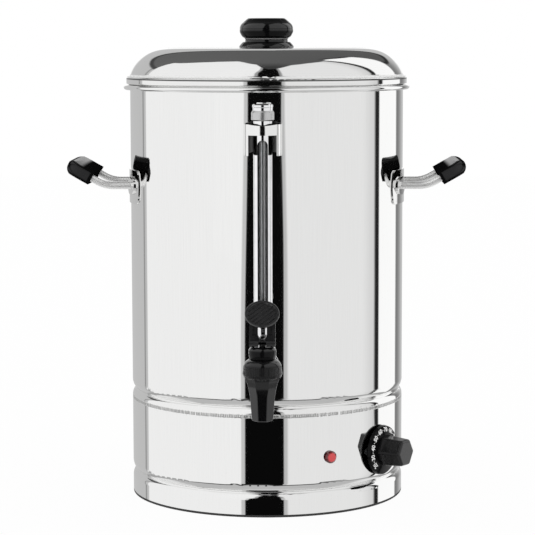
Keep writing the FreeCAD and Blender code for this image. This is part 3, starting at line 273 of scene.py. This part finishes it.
# %% [markdown]
# ## The studio
#
# Polished steel shows nothing but its surroundings, so the surroundings are the lighting. White
# panels stand all round, with a dark gap where the camera looks in and a narrow slit between two
# panels on the right. Real cards would show in other views and need exact places, so the sky holds
# them instead. Each panel has a name, the heading where it begins, the half width of its soft edge,
# and its grey. They come from measuring what the photographed steel mirrors, and are rounded.

# %% Panels by compass heading
REAR_GREY = 0.56
PANELS = [
    ("post on the left", -126.5, 1.0, 0.27),
    ("return of the left wall", -124.5, 0.7, 0.55),
    ("left wall", -120.5, 1.0, 0.96),
    ("right wall", -1.0, 1.0, 0.87),
    ("far end of the right wall", 95.0, 9.0, 0.72),
    ("slit", 103.8, 1.8, 0.02),
    ("bright panel behind the slit", 110.0, 1.0, 1.08),
    ("shade beside it", 141.6, 1.4, 0.22),
    ("rear", 155.0, 11.0, REAR_GREY),
]

world = bpy.data.worlds.new("studio")
scene.world = world
sky = empty_tree(world)
ray = add(sky, "ShaderNodeTexCoord", output=0)
east, north, climb = (add(sky, "ShaderNodeSeparateXYZ", None, {0: ray}, i) for i in range(3))
heading = east.maths("ARCTAN2", north * -1.0) * math.degrees(1)
elevation = climb.maths("ARCSINE") * math.degrees(1)

# The edges of the panels on the right lean over by this many degrees towards their tops.
RIGHT_LEAN = 2.6
looked = heading - heading.ramp(60.0, 95.0) * elevation.ramp(12.0, 34.0, 0.0, RIGHT_LEAN)


def by_heading(start, steps):
    """A value that passes softly to the next one at each (name, heading, half width, value)."""
    found = start
    before = start
    for _, middle, half, value in steps:
        found = looked.ramp(middle - half, middle + half, 0.0, value - before) + found
        before = value
    return found


strip = by_heading(REAR_GREY, PANELS)
print(len(PANELS), "panels round the studio")

# %% [markdown]
# ## The gap in front
#
# The camera looks in between two panels, and the steel mirrors that opening as a black stripe behind
# the tap. A real black card would show in other views, so the opening is part of the sky. A softer
# grey beside it stands for the panels' own edges.

# %% The dark gap in front, wider towards the floor; its left panel leans in towards the top
GAP = (-14.1, 13.3)
EDGE = 0.45
GAP_GREY = 0.003
SHELF = ((-17.9, -16.4), (14.9, 16.9))
turned = heading.maths("ABSOLUTE")
down = elevation * -1.0
lean = down.ramp(1.0, 9.0, 0.0, 0.19)
across = heading * (1.0 - lean * turned.ramp(18.0, 30.0, 1.0, 0.0))
inward = across - elevation.ramp(4.0, 26.0, 0.0, 7.1) - elevation.ramp(41.0, 56.0, 0.0, 3.7)
outward = across + down.ramp(5.0, 9.0, 0.0, 1.1)
shelf = inward.ramp(*SHELF[0]) * outward.ramp(*SHELF[1], 1.0, 0.0)
gap = inward.ramp(GAP[0] - EDGE, GAP[0] + EDGE)
gap = gap * outward.ramp(GAP[1] - EDGE, GAP[1] + EDGE, 1.0, 0.0)
dusk = 0.38 + elevation.ramp(15.0, 30.0, 0.0, 0.25)
strip = strip * (1.0 - shelf * dusk) * (1.0 - gap) + gap * GAP_GREY
print("gap from", GAP[0], "to", GAP[1], "degrees")

# %% [markdown]
# ## The panels' top edge
#
# The lid is a dome, so it mirrors high parts of the studio that the upright wall never sees. Its dark
# crescent is the ceiling over the panels, and its lower outline is their top edge. That edge could be
# modelled as cloth. A height for each stretch of headings is simpler, and easy to change.

# %% Where the panels end, in degrees up, and the dark ceiling above them
REAR_TOP = 36
TOPS = [
    ("rear, falling to the left", -165.0, 15.0, 25),
    ("end of the left wall", -120.5, 1.0, 43),
    ("left wall", -101.0, 23.0, 77),
    ("left wall, falling to the lens", -33.0, 30.0, 72),
    ("over the lens", -7.0, 13.0, 56),
    ("right wall", 24.0, 22.0, 68),
    ("far end of the right wall", 89.0, 21.0, 63),
    ("bright panel, falling", 133.0, 20.0, 42),
    ("shade beside it", 142.3, 1.2, 19),
    ("rear, rising", 171.0, 10.0, REAR_TOP),
]
tops = by_heading(REAR_TOP, TOPS)
over = (elevation - tops).ramp(-1.0, 1.0)
rear = turned.ramp(118, 124)
ceiling = 0.115 - east * 0.03 - (elevation - tops - 2.4).band(0.0, 1.6, 1.2) * rear * 0.07
ceiling = ceiling * (1.0 - turned.ramp(10, 60, 0.6, 0.0) * elevation.ramp(60, 84, 1.0, 0.0))
above = (1.0 - over) * strip + over * ceiling
print(len(TOPS), "steps of the panels' top edge")

# %% [markdown]
# ## The floor in the mirror
#
# Everything in the steel that leans outwards mirrors the floor: the grooves, the rims, the lid's edge.
# The real floor is brighter close by than at its far edge, where a dark line parts it from the panels.

# %% The line where the floor begins, and the floor
FLOOR_BEGINS = 26.5
LINE = 6.0
started = down.ramp(FLOOR_BEGINS, FLOOR_BEGINS + 1.5)
below = down.ramp(FLOOR_BEGINS + LINE, FLOOR_BEGINS + LINE + 2.0)
line_grey = turned.ramp(45, 90, 0.05, 0.40)
behind = turned.ramp(88, 112)
cloth_grey = down.ramp(58, 68, 0.53, 0.64) * (1.0 - behind) + behind * 0.84
glow = turned.ramp(160, 170) * elevation.band(5.0, 5.0, 2.0)
edge_or_cloth = line_grey * (1.0 - below) + below * cloth_grey
walls = above * (1.0 - started) + started * edge_or_cloth + glow * 0.5
print("floor begins", FLOOR_BEGINS, "degrees down")

# %% [markdown]
# ## One sky, two uses
#
# Light Path tells rays apart. Mirrored rays see the studio, and all others see plain white, which
# lights the urn evenly and gives the white background.

# %% Sky for each kind of ray
seen_by = add(sky, "ShaderNodeLightPath", output=0)
glossy = Value(seen_by.socket.node.outputs["Is Glossy Ray"])
studio = add(sky, "ShaderNodeBackground", None, {"Color": walls, "Strength": 1.0})
plain = add(sky, "ShaderNodeBackground", None, {"Color": (1, 1, 1, 1), "Strength": 1.0})
either = add(sky, "ShaderNodeMixShader", None, {0: glossy, 1: plain, 2: studio})
finish_tree(sky, "ShaderNodeOutputWorld", either)
print("sky ready")

# %% [markdown]
# ## Floor
#
# The floor is white for the camera but keeps a little of its own shading, so the urn's shadow stays.
# Mirrored rays pass through it and find the floor of the studio, described above.

# %% Floor
bpy.ops.mesh.primitive_plane_add(size=8.0, location=(0, 0, 0))
floor = bpy.context.object
floor.name = "floor"
cloth = bpy.data.materials.new("floor")
ground = empty_tree(cloth)
pale = add(ground, "ShaderNodeBsdfDiffuse", None, {"Color": (0.9, 0.9, 0.9, 1)})
white = add(ground, "ShaderNodeEmission", None, {"Color": (1, 1, 1, 1), "Strength": 1.0})
clear = add(ground, "ShaderNodeBsdfTransparent")
path = add(ground, "ShaderNodeLightPath", output=0).socket.node
camera_share = Value(path.outputs["Is Camera Ray"]) * 0.95
lit = add(ground, "ShaderNodeMixShader", None, {0: camera_share, 1: pale, 2: white})
shown = {0: Value(path.outputs["Is Glossy Ray"]), 1: lit, 2: clear}
whole = add(ground, "ShaderNodeMixShader", None, shown)
finish_tree(ground, "ShaderNodeOutputMaterial", whole)
floor.data.materials.append(cloth)
print("floor", floor.dimensions.x, "m wide")

# %% [markdown]
# ## Cards
#
# The sky is endlessly far away, so by itself it looks the same from every point of the urn. Two real
# cards close to the lens give the front its proper change from top to bottom. Only mirrored rays see
# them.

# %% A white card on each side of the lens
CARD_FAR = 0.600
CARD_INNER = 0.195
CARD_OUTER = 0.500
CARD_FOOT = 0.150
CARD_TOP = 1.100
for side, grey in ((-1, 0.97), (1, 0.87)):
    bpy.ops.mesh.primitive_plane_add(size=1.0, rotation=(math.radians(90), 0, 0))
    card = bpy.context.object
    card.name = "card_left" if side < 0 else "card_right"
    card.location = (side * (CARD_INNER + CARD_OUTER) / 2, -CARD_FAR, (CARD_FOOT + CARD_TOP) / 2)
    card.scale = (CARD_OUTER - CARD_INNER, CARD_TOP - CARD_FOOT, 1.0)
    shade = bpy.data.materials.new(card.name)
    drawn = empty_tree(shade)
    lamp = add(drawn, "ShaderNodeEmission", None, {"Color": paint(grey), "Strength": 1.0})
    finish_tree(drawn, "ShaderNodeOutputMaterial", lamp)
    card.data.materials.append(shade)
    card.visible_camera = False
    card.visible_diffuse = False
    card.visible_shadow = False
    card.visible_transmission = False
print("two cards at", CARD_FAR, "m")

# %% [markdown]
# ## Polished steel
#
# The sheet is nearly a mirror. Faint streaks change its roughness, and on the body the welding wheel
# of the tank seam left a band of short upright ticks.

# %% Steel of the shell
SEAM_Z = 82.7
SEAM_HALF = 1.15
CALM_Z = 96.5


def shell_steel(at):
    """Mirror sheet with streaks up the wall and the ticks of the seam weld."""
    streaks = at.streaks(1.2, 60.0)
    smears = at.noise(0.02, (1, 1, 0.6), 2.0, 3.0)
    angle = at.angle()
    jitter = at.streaks(0.6, 9.0, 5.0)
    turns = angle * 8.2 + jitter * 9.0
    ridge = turns.maths("SINE").ramp(-0.5, 0.7)
    missing = at.streaks(0.35, 30.0, 8.0).ramp(0.34, 0.46)
    height_noise = at.streaks(2.5, 400.0, 2.0) * 1.6 - 0.8
    band = (at.z + height_noise).band(SEAM_Z, SEAM_HALF, 0.45)
    ticks = band * (0.35 + 0.65 * ridge) * missing
    ripple = at.noise(0.03, (1, 1, 0.35), 1.0, 6.0)
    calm = at.z.band(CALM_Z, 1.2, 0.5)
    return {
        "Base Color": (streaks * 0.12 + ticks).blend((0.905, 0.905, 0.90), (0.40, 0.40, 0.395)),
        "Metallic": 1.0,
        "Roughness": 0.026 + 0.010 * streaks + 0.012 * smears + 0.12 * ticks + 0.06 * calm,
        "height": ticks * 1.0 + ripple * 0.12,
        "depth": 0.00035,
    }


steel_shell = material("steel_shell", shell_steel)
print(steel_shell.name)

# %% [markdown]
# ## Other steels
#
# The lid is polished like the shell, spun on a lathe. The rods are satin, the gauge's strap is dull on
# the side that faces the wall, with painted shade that makes it nearly black, and the tank is brushed. A
# picture of worn metal could be wrapped round them, but a formula of each point's place needs no
# unwrapping and stays sharp close up.

# %% Steel of the lid, the rods and the inside
SHOULDER_RADIUS = 84.2
SHOULDER_Z = 347.0
SHOULDER_WIDTH = 31.8
SHOULDER_HEIGHT = 29.9
LID_EDGE_RADIUS = 114.4
BRIGHT_BAND_Z = 353.9
CREASE_Z = 351.6
STRAP_OUT = 136.0
STRAP_INSIDE = 14.3


def shoulder_normal(at):
    """The lid's shoulder is four arcs in the solid; here its slope changes evenly, as an oval's."""
    radius = at.radius()
    out = (radius - SHOULDER_RADIUS) / SHOULDER_WIDTH**2
    up = (at.z - SHOULDER_Z) / SHOULDER_HEIGHT**2
    size = out**2 * SHOULDER_WIDTH**2 + up**2 * SHOULDER_HEIGHT**2
    slope = {0: out * at.x / radius, 1: out * at.y / radius, 2: up}
    even = add(at.tree, "ShaderNodeCombineXYZ", None, slope)
    given = add(at.tree, "ShaderNodeNewGeometry", output=1)
    even = add(at.tree, "ShaderNodeVectorMath", {"operation": "NORMALIZE"}, {0: even})
    share = size.ramp(0.972, 0.978) * at.z.ramp(355.6, 356.0) * radius.ramp(84.4, 85.0)
    return add(at.tree, "ShaderNodeMix", {"data_type": "VECTOR"}, {0: share, 4: given, 5: even}, 1)


def lid_steel(at):
    """Mirror sheet spun on a lathe; above its edge a rough, mostly non-metallic band lets its pale
    colour show as a painted bright band, and painted shade darkens the crease.
    """
    rings = at.noise(1.6, (0.0, 0.0, 1.0), 4.0, 2.0)
    smears = at.noise(0.025, (1, 1, 1), 2.0, 4.0)
    edge = at.radius().ramp(LID_EDGE_RADIUS - 0.2, LID_EDGE_RADIUS + 0.2)
    # Painted bright band above the edge: the steel turns mostly non-metallic there, so its pale colour
    # shows, except in front; it is also rougher.
    painted_bright_band = edge * at.z.band(BRIGHT_BAND_Z, 1.0, 0.3) * at.x.maths("ABSOLUTE").ramp(8.0, 12.0)
    # Painted shade: a dark line in the crease of the edge bead.
    painted_crease_shade = edge * at.z.band(CREASE_Z, 0.55, 0.2)
    return {
        "Base Color": (rings * 0.1 + painted_crease_shade).blend((0.90, 0.90, 0.895), (0.10, 0.10, 0.10)),
        "Metallic": 1.0 - 0.8 * painted_bright_band,
        "Roughness": 0.03 + 0.02 * rings + 0.02 * smears + 0.4 * painted_bright_band + 0.2 * painted_crease_shade,
        "Normal": shoulder_normal(at),
    }


def bar_steel(at):
    """Drawn and polished bar or small pressing, with light handling marks."""
    marks = at.noise(0.7, (1, 1, 1), 5.0, 1.0)
    cloud = at.noise(0.08, (1, 1, 1), 2.0, 7.0)
    return {
        "Base Color": cloud.blend((0.88, 0.88, 0.875), (0.78, 0.78, 0.775)),
        "Metallic": 1.0,
        "Roughness": 0.05 + 0.05 * marks,
        "height": marks,
        "depth": 0.00001,
    }


def rod_steel(at):
    """Bent bar with a satin polish that softens what it mirrors."""
    cloud = at.noise(0.08, (1, 1, 1), 2.0, 7.0)
    return {
        "Base Color": cloud.blend((0.90, 0.90, 0.895), (0.82, 0.82, 0.815)),
        "Metallic": 0.65 + 0.05 * cloud,
        "Roughness": 0.26 + 0.06 * cloud,
    }


def strap_steel(at):
    """Strap of the gauge: polished outside; dull on the side towards the wall, with painted shade there
    that makes it nearly black.
    """
    found = bar_steel(at)
    ahead = (at.y * -1.0 - STRAP_OUT).maths("MAXIMUM", 0.0)
    inside = (at.x**2 + ahead**2) ** 0.5
    dull_and_painted_shade = inside.ramp(STRAP_INSIDE - 0.2, STRAP_INSIDE + 0.2, 1.0, 0.0)
    # Painted shade: the side towards the wall is coloured nearly black; it is also rougher there.
    found["Base Color"] = dull_and_painted_shade.blend((0.88, 0.88, 0.875), (0.02, 0.02, 0.02))
    found["Roughness"] = found["Roughness"] + dull_and_painted_shade * 0.35
    return found


def tank_steel(at):
    """Satin sheet inside the tank, brushed round the floor."""
    rings = at.radius().noise_line(2.2)
    stain = at.noise(0.03, (1, 1, 1), 3.0, 9.0).ramp(0.45, 0.75)
    return {
        "Base Color": stain.blend((0.78, 0.78, 0.77), (0.66, 0.65, 0.62)),
        "Metallic": 1.0,
        "Roughness": 0.16 + 0.14 * rings,
        "height": rings,
        "depth": 0.00003,
    }


steel_lid = material("steel_lid", lid_steel)
steel_bar = material("steel_bar", bar_steel)
steel_tank = material("steel_tank", tank_steel)
steel_rod = material("steel_rod", rod_steel)
steel_strap = material("steel_strap", strap_steel)
print("five more steels")

# %% [markdown]
# ## Plain metals
#
# The small fittings differ only in colour, polish and grain, so one recipe with six sets of numbers
# makes them all.

# %% Chrome, satin nut, zinc, brass, cast aluminium and the dark sheath


def metal(colour, worn, rough, spread, grain, depth):
    """A recipe for a plain metal: two colours, a roughness, its spread, a grain and its depth."""

    def recipe(at):
        """Cloudy colour with a fine grain."""
        fine = at.noise(grain, (1, 1, 1), 5.0, 2.0)
        cloud = at.noise(0.09, (1, 1, 1), 3.0, 5.0).ramp(0.35, 0.7)
        return {
            "Base Color": cloud.blend(colour, worn),
            "Metallic": 1.0,
            "Roughness": fine * spread + rough,
            "height": fine,
            "depth": depth,
        }

    return recipe


bright_chrome = metal((0.93, 0.93, 0.94), (0.86, 0.86, 0.87), 0.03, 0.03, 0.9, 0.000004)
chrome = material("chrome", bright_chrome)
satin = material("satin_nut", metal((0.60, 0.60, 0.60), (0.52, 0.52, 0.52), 0.27, 0.10, 2.0, 0.00003))
zinc = material("zinc", metal((0.68, 0.70, 0.72), (0.55, 0.56, 0.55), 0.28, 0.16, 0.8, 0.00003))
brass = material("brass", metal((0.80, 0.62, 0.30), (0.66, 0.50, 0.24), 0.22, 0.12, 1.2, 0.00002))
aluminium = material("aluminium", metal((0.74, 0.75, 0.76), (0.62, 0.63, 0.64), 0.42, 0.2, 0.9, 0.00009))
sheath = material("sheath", metal((0.36, 0.33, 0.31), (0.24, 0.21, 0.20), 0.35, 0.2, 0.7, 0.00005))
print("six metals")

# %% [markdown]
# ## Guard tube
#
# The guard is a chromed tube with a slot in front. Its bore was never polished, so the same chrome
# gets rougher wherever a point lies within the bore's radius.

# %% Guard tube of the gauge
BORE = 7.0


def guard_metal(at):
    """Bright chrome outside; the bore is as drawn, pale, with fine dark draw lines and a painted
    reflection as a dark stripe down the middle of its back.
    """
    found = bright_chrome(at)
    bore = at.radius(0.0, -GAUGE_OUT).ramp(BORE - 0.1, BORE + 0.1, 1.0, 0.0)
    side = at.x.maths("ABSOLUTE")
    fine = at.x.noise_line(2.2).ramp(0.45, 0.6) * 0.25
    # Painted reflection: a dark stripe straight down the middle of the bore's back; the fine random
    # lines beside it are draw lines.
    lines = bore * (side.ramp(0.35, 0.75, 0.95, 0.0) + fine)
    found["Base Color"] = lines.blend(found["Base Color"], (0.05, 0.05, 0.05))
    found["Roughness"] = found["Roughness"] + bore * 0.24
    return found


guard_chrome = material("guard_chrome", guard_metal)
print(guard_chrome.name)

# %% [markdown]
# ## Plastics, rubber, glass
#
# The tap and the knobs are a glossy black thermoset, the grips a fine grained one. Black shows its
# shape by its highlights alone, so each piece says where its coat is polished and where it is dull.

# %% Black mouldings
GRIP_OUT = 145.4
GRIP_Z = 269.28
GRIP_TILT = math.radians(29.5)
KNOB_BEAD_Z = 384.4
KNOB_FOOT_TOP = 383.4
KNOB_BULGE = (390.2, 392.6)
KNOB_CAP = (398.0, 399.2)
BONNET_RIM = (143.5, 145.5)


def gloss_black(at):
    """Glossy black with the faint waviness of a moulding."""
    wave = at.noise(0.12, (1, 1, 1), 2.0, 3.0)
    dust = at.noise(1.4, (1, 1, 1), 4.0, 6.0).ramp(0.5, 0.8)
    return {
        "Base Color": dust.blend((0.0035, 0.0035, 0.0038), (0.008, 0.008, 0.0085)),
        "Roughness": 0.10 + 0.03 * dust + 0.04 * wave,
        "height": wave,
        "depth": 0.00004,
    }


def grained_black(at):
    """Satin black with a fine spark-eroded grain."""
    grain = at.noise(2.4, (1, 1, 1), 4.0, 3.0)
    wear = at.noise(0.12, (1, 1, 1), 3.0, 8.0).ramp(0.4, 0.8)
    return {
        "Base Color": wear.blend((0.006, 0.006, 0.0065), (0.014, 0.014, 0.015)),
        "Roughness": 0.26 + 0.14 * grain + 0.06 * wear,
        "height": grain,
        "depth": 0.00002,
    }


def grip_black(at):
    """Grip: dull black, worn glossy on top towards the nose; the end panels are grained grey, with a
    painted highlight that lightens them towards the nose.
    """
    found = grained_black(at)
    out = at.x.maths("ABSOLUTE") - GRIP_OUT
    rise = at.z - GRIP_Z
    along = out * math.cos(GRIP_TILT) + rise * math.sin(GRIP_TILT)
    across = (rise * math.cos(GRIP_TILT) - out * math.sin(GRIP_TILT)).maths("ABSOLUTE")
    panel = across.ramp(3.9, 4.3, 1.0, 0.0) * along.ramp(2.2, 2.6)
    panel = panel * along.ramp(21.4, 22.0, 1.0, 0.0)
    worn = along.ramp(9.0, 13.5) * along.ramp(21.8, 22.6, 1.0, 0.0) * across.ramp(4.6, 5.4)
    # Painted highlight: the grey end panels are coloured lighter towards the nose.
    shade = panel * (0.75 + 0.25 * along.ramp(12.0, 20.0))
    found["Base Color"] = shade.blend((0.004, 0.004, 0.0042), (0.036, 0.036, 0.037))
    found["Specular IOR Level"] = 0.0
    found["Coat Weight"] = worn * 0.6
    found["Coat Roughness"] = 0.16
    return found


def knob_black(at):
    """Knob of the lid: polished bulge, duller cap and waist, and a painted highlight as a pale line on
    the bead.
    """
    found = gloss_black(at)
    painted_bead_highlight = at.z.band(KNOB_BEAD_Z, 0.45, 0.25)
    bulge = at.z.ramp(*KNOB_BULGE) * at.z.ramp(*KNOB_CAP, 1.0, 0.3)
    foot = at.z.ramp(KNOB_FOOT_TOP - 0.4, KNOB_FOOT_TOP + 0.4, 0.8, 0.0)
    # Painted highlight: a pale grey line on the bead.
    found["Base Color"] = painted_bead_highlight.blend(found["Base Color"], (0.34, 0.34, 0.34))
    found["Specular IOR Level"] = 0.10
    found["Coat Weight"] = bulge + foot
    found["Coat Roughness"] = 0.06
    return found


def lever_black(at):
    """Lever: the same black with a finger pad rubbed to a satin grey."""
    found = gloss_black(at)
    rub = at.noise(0.25, (1, 1, 1), 3.0, 5.0)
    found["Base Color"] = rub.blend((0.007, 0.007, 0.0075), (0.018, 0.018, 0.019))
    found["Roughness"] = 0.30 + 0.08 * rub
    found["Coat Weight"] = 0.4
    found["Coat Roughness"] = 0.12
    return found


def dial_black(at):
    """Dial: the skirt is dull so that its numbers stand out, the end of the handle is polished."""
    found = gloss_black(at)
    along = at.x * math.sin(DIAL_ANGLE) - at.y * math.cos(DIAL_ANGLE) - WALL_RADIUS
    found["height"] = found["height"] * 0.3
    found["Specular IOR Level"] = 0.10
    found["Coat Weight"] = along.ramp(7.0, 9.0, 0.0, 0.25) + along.ramp(24.0, 25.6, 0.0, 0.55)
    found["Coat Roughness"] = 0.10
    return found


def bonnet_black(at):
    """Bonnet of the tap: black, with only its upper rim catching the light."""
    found = gloss_black(at)
    found["Specular IOR Level"] = 0.12
    found["Coat Weight"] = at.z.ramp(*BONNET_RIM, 0.0, 0.9)
    found["Coat Roughness"] = 0.10
    return found


black_gloss = material("black_gloss", gloss_black)
black_grained = material("black_grained", grained_black)
black_grip = material("black_grip", grip_black)
black_knob = material("black_knob", knob_black)
black_lever = material("black_lever", lever_black)
black_bonnet = material("black_bonnet", bonnet_black)
black_dial = material("black_dial", dial_black)
print("seven blacks")

# %% [markdown]
# ## Tap body
#
# Fine ribs run round the tap's widest part. They are too shallow to change its outline, so they are a
# bump in the finish and not geometry.

# %% Tap body with the fine ribs of its shoulder
RIBS = 64
RIBS_Z = 127.6
RIBS_HALF = 4.2
SPOUT_TOP = (120.0, 122.0)
SHOULDER_TOP = (132.0, 134.0)


def tap_black(at):
    """Glossy black; fine upright ribs run round the widest part for the fingers."""
    found = gloss_black(at)
    angle = at.x.maths("ARCTAN2", (at.y + TAP_OUT) * -1.0)
    ribs = (angle * RIBS).maths("SINE").ramp(-0.6, 0.8)
    widest = at.radius(0.0, -TAP_OUT).ramp(11.5, 12.6)
    zone = at.z.band(RIBS_Z, RIBS_HALF, 0.5) * widest
    found["Specular IOR Level"] = 0.25
    found["Coat Weight"] = at.z.ramp(*SPOUT_TOP, 0.6, 0.0) + at.z.ramp(*SHOULDER_TOP, 0.0, 0.5)
    found["Coat Roughness"] = 0.07
    found["height"] = ribs * zone
    found["depth"] = 0.0005
    return found


tap_moulding = material("tap_moulding", tap_black)
print(tap_moulding.name)

# %% [markdown]
# ## Rubber, silicone, ceramic
#
# The edge under the base is black rubber, the seals are silicone, and the terminals are ceramic. All
# are dull, with a fine grain and a slow change of colour.

# %% Rubber, silicone, ceramic


def soft(colour, worn, rough, grain):
    """A recipe for rubber or ceramic: two colours, a roughness and a grain."""

    def recipe(at):
        """Dull surface with a fine grain."""
        fine = at.noise(grain, (1, 1, 1), 4.0, 4.0)
        cloud = at.noise(0.1, (1, 1, 1), 2.0, 1.0)
        return {
            "Base Color": cloud.blend(colour, worn),
            "Roughness": fine * 0.2 + rough,
            "height": fine,
            "depth": 0.00006,
        }

    return recipe


rubber = material("rubber", soft((0.020, 0.020, 0.020), (0.04, 0.04, 0.04), 0.6, 1.5))
silicone = material("silicone", soft((0.78, 0.77, 0.73), (0.68, 0.66, 0.60), 0.35, 0.8))
ceramic = material("ceramic", soft((0.86, 0.84, 0.79), (0.76, 0.74, 0.70), 0.5, 1.1))
print("rubber, silicone, ceramic")

# %% [markdown]
# ## Glass
#
# The gauge's tube is clear glass. It is a real tube with a bore, so the shader only needs the glass's
# own bending of light.

# %% Glass of the gauge


def clear_glass(at):
    """Drawn glass tube: clear, with slight draw lines along it."""
    lines = at.noise(0.9, (1, 1, 0.02), 3.0, 2.0)
    return {
        "Base Color": lines.blend((0.985, 0.99, 0.99), (0.96, 0.97, 0.97)),
        "Roughness": 0.004 + 0.01 * lines,
        "Transmission Weight": 1.0,
        "IOR": 1.47,
    }


glass = material("gauge_glass_clear", clear_glass)
print(glass.name)

# %% [markdown]
# ## Pilot lamp
#
# The lens is clear red plastic. It would cost many bounces of light to trace, so its bright core and
# dark rim are painted by the distance from its axis, with a faint glow.

# %% Red lens of the pilot lamp
LAMP_Z = 47.5
LAMP_AXIS = (math.sin(LAMP_ANGLE), -math.cos(LAMP_ANGLE), 0.0)
LAMP_CENTRE = (WALL_RADIUS * LAMP_AXIS[0], WALL_RADIUS * LAMP_AXIS[1], LAMP_Z)


def lens_red(at):
    """Red lens: bright where the front is thin, dark where the side wall is deep."""
    out = at.from_axis(LAMP_CENTRE, LAMP_AXIS)
    rim = out.ramp(2.8, 4.4)
    facets = at.noise(0.9, (1, 1, 1), 1.0, 3.0)
    core = facets.blend((0.50, 0.020, 0.024), (0.64, 0.05, 0.055))
    return {
        "Base Color": rim.blend(core, (0.09, 0.005, 0.007)),
        "Roughness": 0.14 + 0.1 * facets,
        "Coat Weight": 0.6,
        "Emission Color": rim.blend((0.8, 0.07, 0.08), (0.04, 0.0, 0.0)),
        "Emission Strength": 0.10,
    }


red_lens = material("red_lens_lit", lens_red)
print(red_lens.name)

# %% [markdown]
# ## Materials on the pieces
#
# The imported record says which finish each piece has. Pieces with a look of their own are named, and
# all others follow the record, so nothing is left bare.

# %% Give every piece its material
LOOKS = {
    "polished_steel": steel_bar, "satin_steel": satin, "zinc_steel": zinc, "chrome_plate": chrome,
    "black_gloss": black_gloss, "black_matte": black_grained, "gauge_glass": glass, "silicone": silicone,
    "rubber_black": rubber, "brass": brass, "aluminium": aluminium, "element_sheath": sheath,
    "red_lens": red_lens, "ceramic": ceramic,
}
BY_NAME = {
    "body_shell": steel_shell, "lid_shell": steel_lid, "lid_ring": steel_lid, "tank_bottom": steel_tank,
    "tap_body": tap_moulding, "right_handle_rod": steel_rod, "left_handle_rod": steel_rod,
    "gauge_bracket": steel_strap, "gauge_guard": guard_chrome, "lid_knob": black_knob,
    "tap_lever": black_lever, "right_handle_grip": black_grip, "left_handle_grip": black_grip,
    "tap_bonnet": black_bonnet, "thermostat_knob": black_dial,
}
for part in frame["record"]["subparts"]:
    piece = nodes[part["node"]]
    look = BY_NAME.get(part["node"], LOOKS[part["material_slot"]])
    for holder in piece.material_slots:
        holder.material = look

# %% [markdown]
# ## The spring inside the tap
#
# The spring is held under the bonnet, and the rising valve squeezes it from below. Its coil is a copy of
# the imported one, attached to the body, and the imported one is hidden.

# %% A copy of the spring
coil = bpy.data.objects.new("tap_spring_coil", nodes["tap_spring"].data.copy())
scene.collection.objects.link(coil)
coil.data.materials.clear()
coil.data.materials.append(satin)
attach(coil, "body")
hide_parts("tap_spring")
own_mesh(coil)

# %% [markdown]
# ## Marks on the dial
#
# The dial's skirt carries plain numbers, with a dot between each two.

# %% Helpers for marks
DIAL_TO_ROW = (
    Matrix.Rotation(DIAL_ANGLE, 4, "Z")
    @ Matrix.Translation((0.0, -0.115, 0.0465))
    @ Matrix.Rotation(math.radians(90), 4, "X")
)


def lettering(text, size):
    """The mesh of a short text, centred on its origin, facing +Z."""
    curve = bpy.data.curves.new(text, "FONT")
    curve.body = text
    curve.size = size
    curve.align_x = "CENTER"
    curve.align_y = "CENTER"
    curve.extrude = 0.00004
    curve.offset = 0.00016
    curve.resolution_u = 3
    holder = bpy.data.objects.new(text, curve)
    scene.collection.objects.link(holder)
    mesh = bpy.data.meshes.new_from_object(holder)
    bpy.data.objects.remove(holder)
    return mesh


def joined(name, pieces):
    """One object from (mesh, matrix) pairs."""
    whole = bmesh.new()
    for mesh, matrix in pieces:
        copy = mesh.copy()
        copy.transform(matrix)
        whole.from_mesh(copy)
    made = bpy.data.meshes.new(name)
    whole.to_mesh(made)
    piece = bpy.data.objects.new(name, made)
    scene.collection.objects.link(piece)
    return piece


def dot_mesh(radius, thick):
    """A small round dot."""
    shape = bmesh.new()
    bmesh.ops.create_cone(shape, cap_ends=True, segments=12, radius1=radius, radius2=radius, depth=thick)
    mesh = bpy.data.meshes.new("dot")
    shape.to_mesh(mesh)
    return mesh


# %% Numbers and dots
FACE_FALL = 1.6 / 7.0
FACE_TILT = math.atan2(1.6, 7.0)
FACE_EDGE = 0.0200
FACE_EDGE_HEIGHT = 0.0044
MARK_RADIUS = 0.0170
MARK_HEIGHT = FACE_EDGE_HEIGHT + (FACE_EDGE - MARK_RADIUS) * FACE_FALL + 0.00003
NUMBERS = 10
FIRST_TURN = 130.0
STEP = 27.0
stand = Matrix.Translation((0, MARK_RADIUS, MARK_HEIGHT)) @ Matrix.Rotation(-FACE_TILT, 4, "X")


def on_dial(steps):
    """The place on the dial's sloping face that is so many steps past the first number."""
    return DIAL_TO_ROW @ Matrix.Rotation(math.radians(FIRST_TURN - steps * STEP), 4, "Z") @ stand


marks = []
for number in range(NUMBERS):
    marks.append((lettering(str(20 + 10 * number), 0.0050), on_dial(number)))
    if number < NUMBERS - 1:
        marks.append((dot_mesh(0.00045, 0.00008), on_dial(number + 0.5)))
dial_marks = joined("dial_marks", marks)


def print_white(at):
    """White pad print, a little thin in places."""
    thin = at.noise(2.0, (1, 1, 1), 3.0, 1.0).ramp(0.3, 0.8)
    return {
        "Base Color": thin.blend((0.96, 0.96, 0.95), (0.86, 0.86, 0.85)),
        "Roughness": 0.45 + 0.1 * thin,
    }


dial_marks.data.materials.append(material("dial_print", print_white))
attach(dial_marks, "thermostat_dial")
print(len(marks), "marks on the dial")
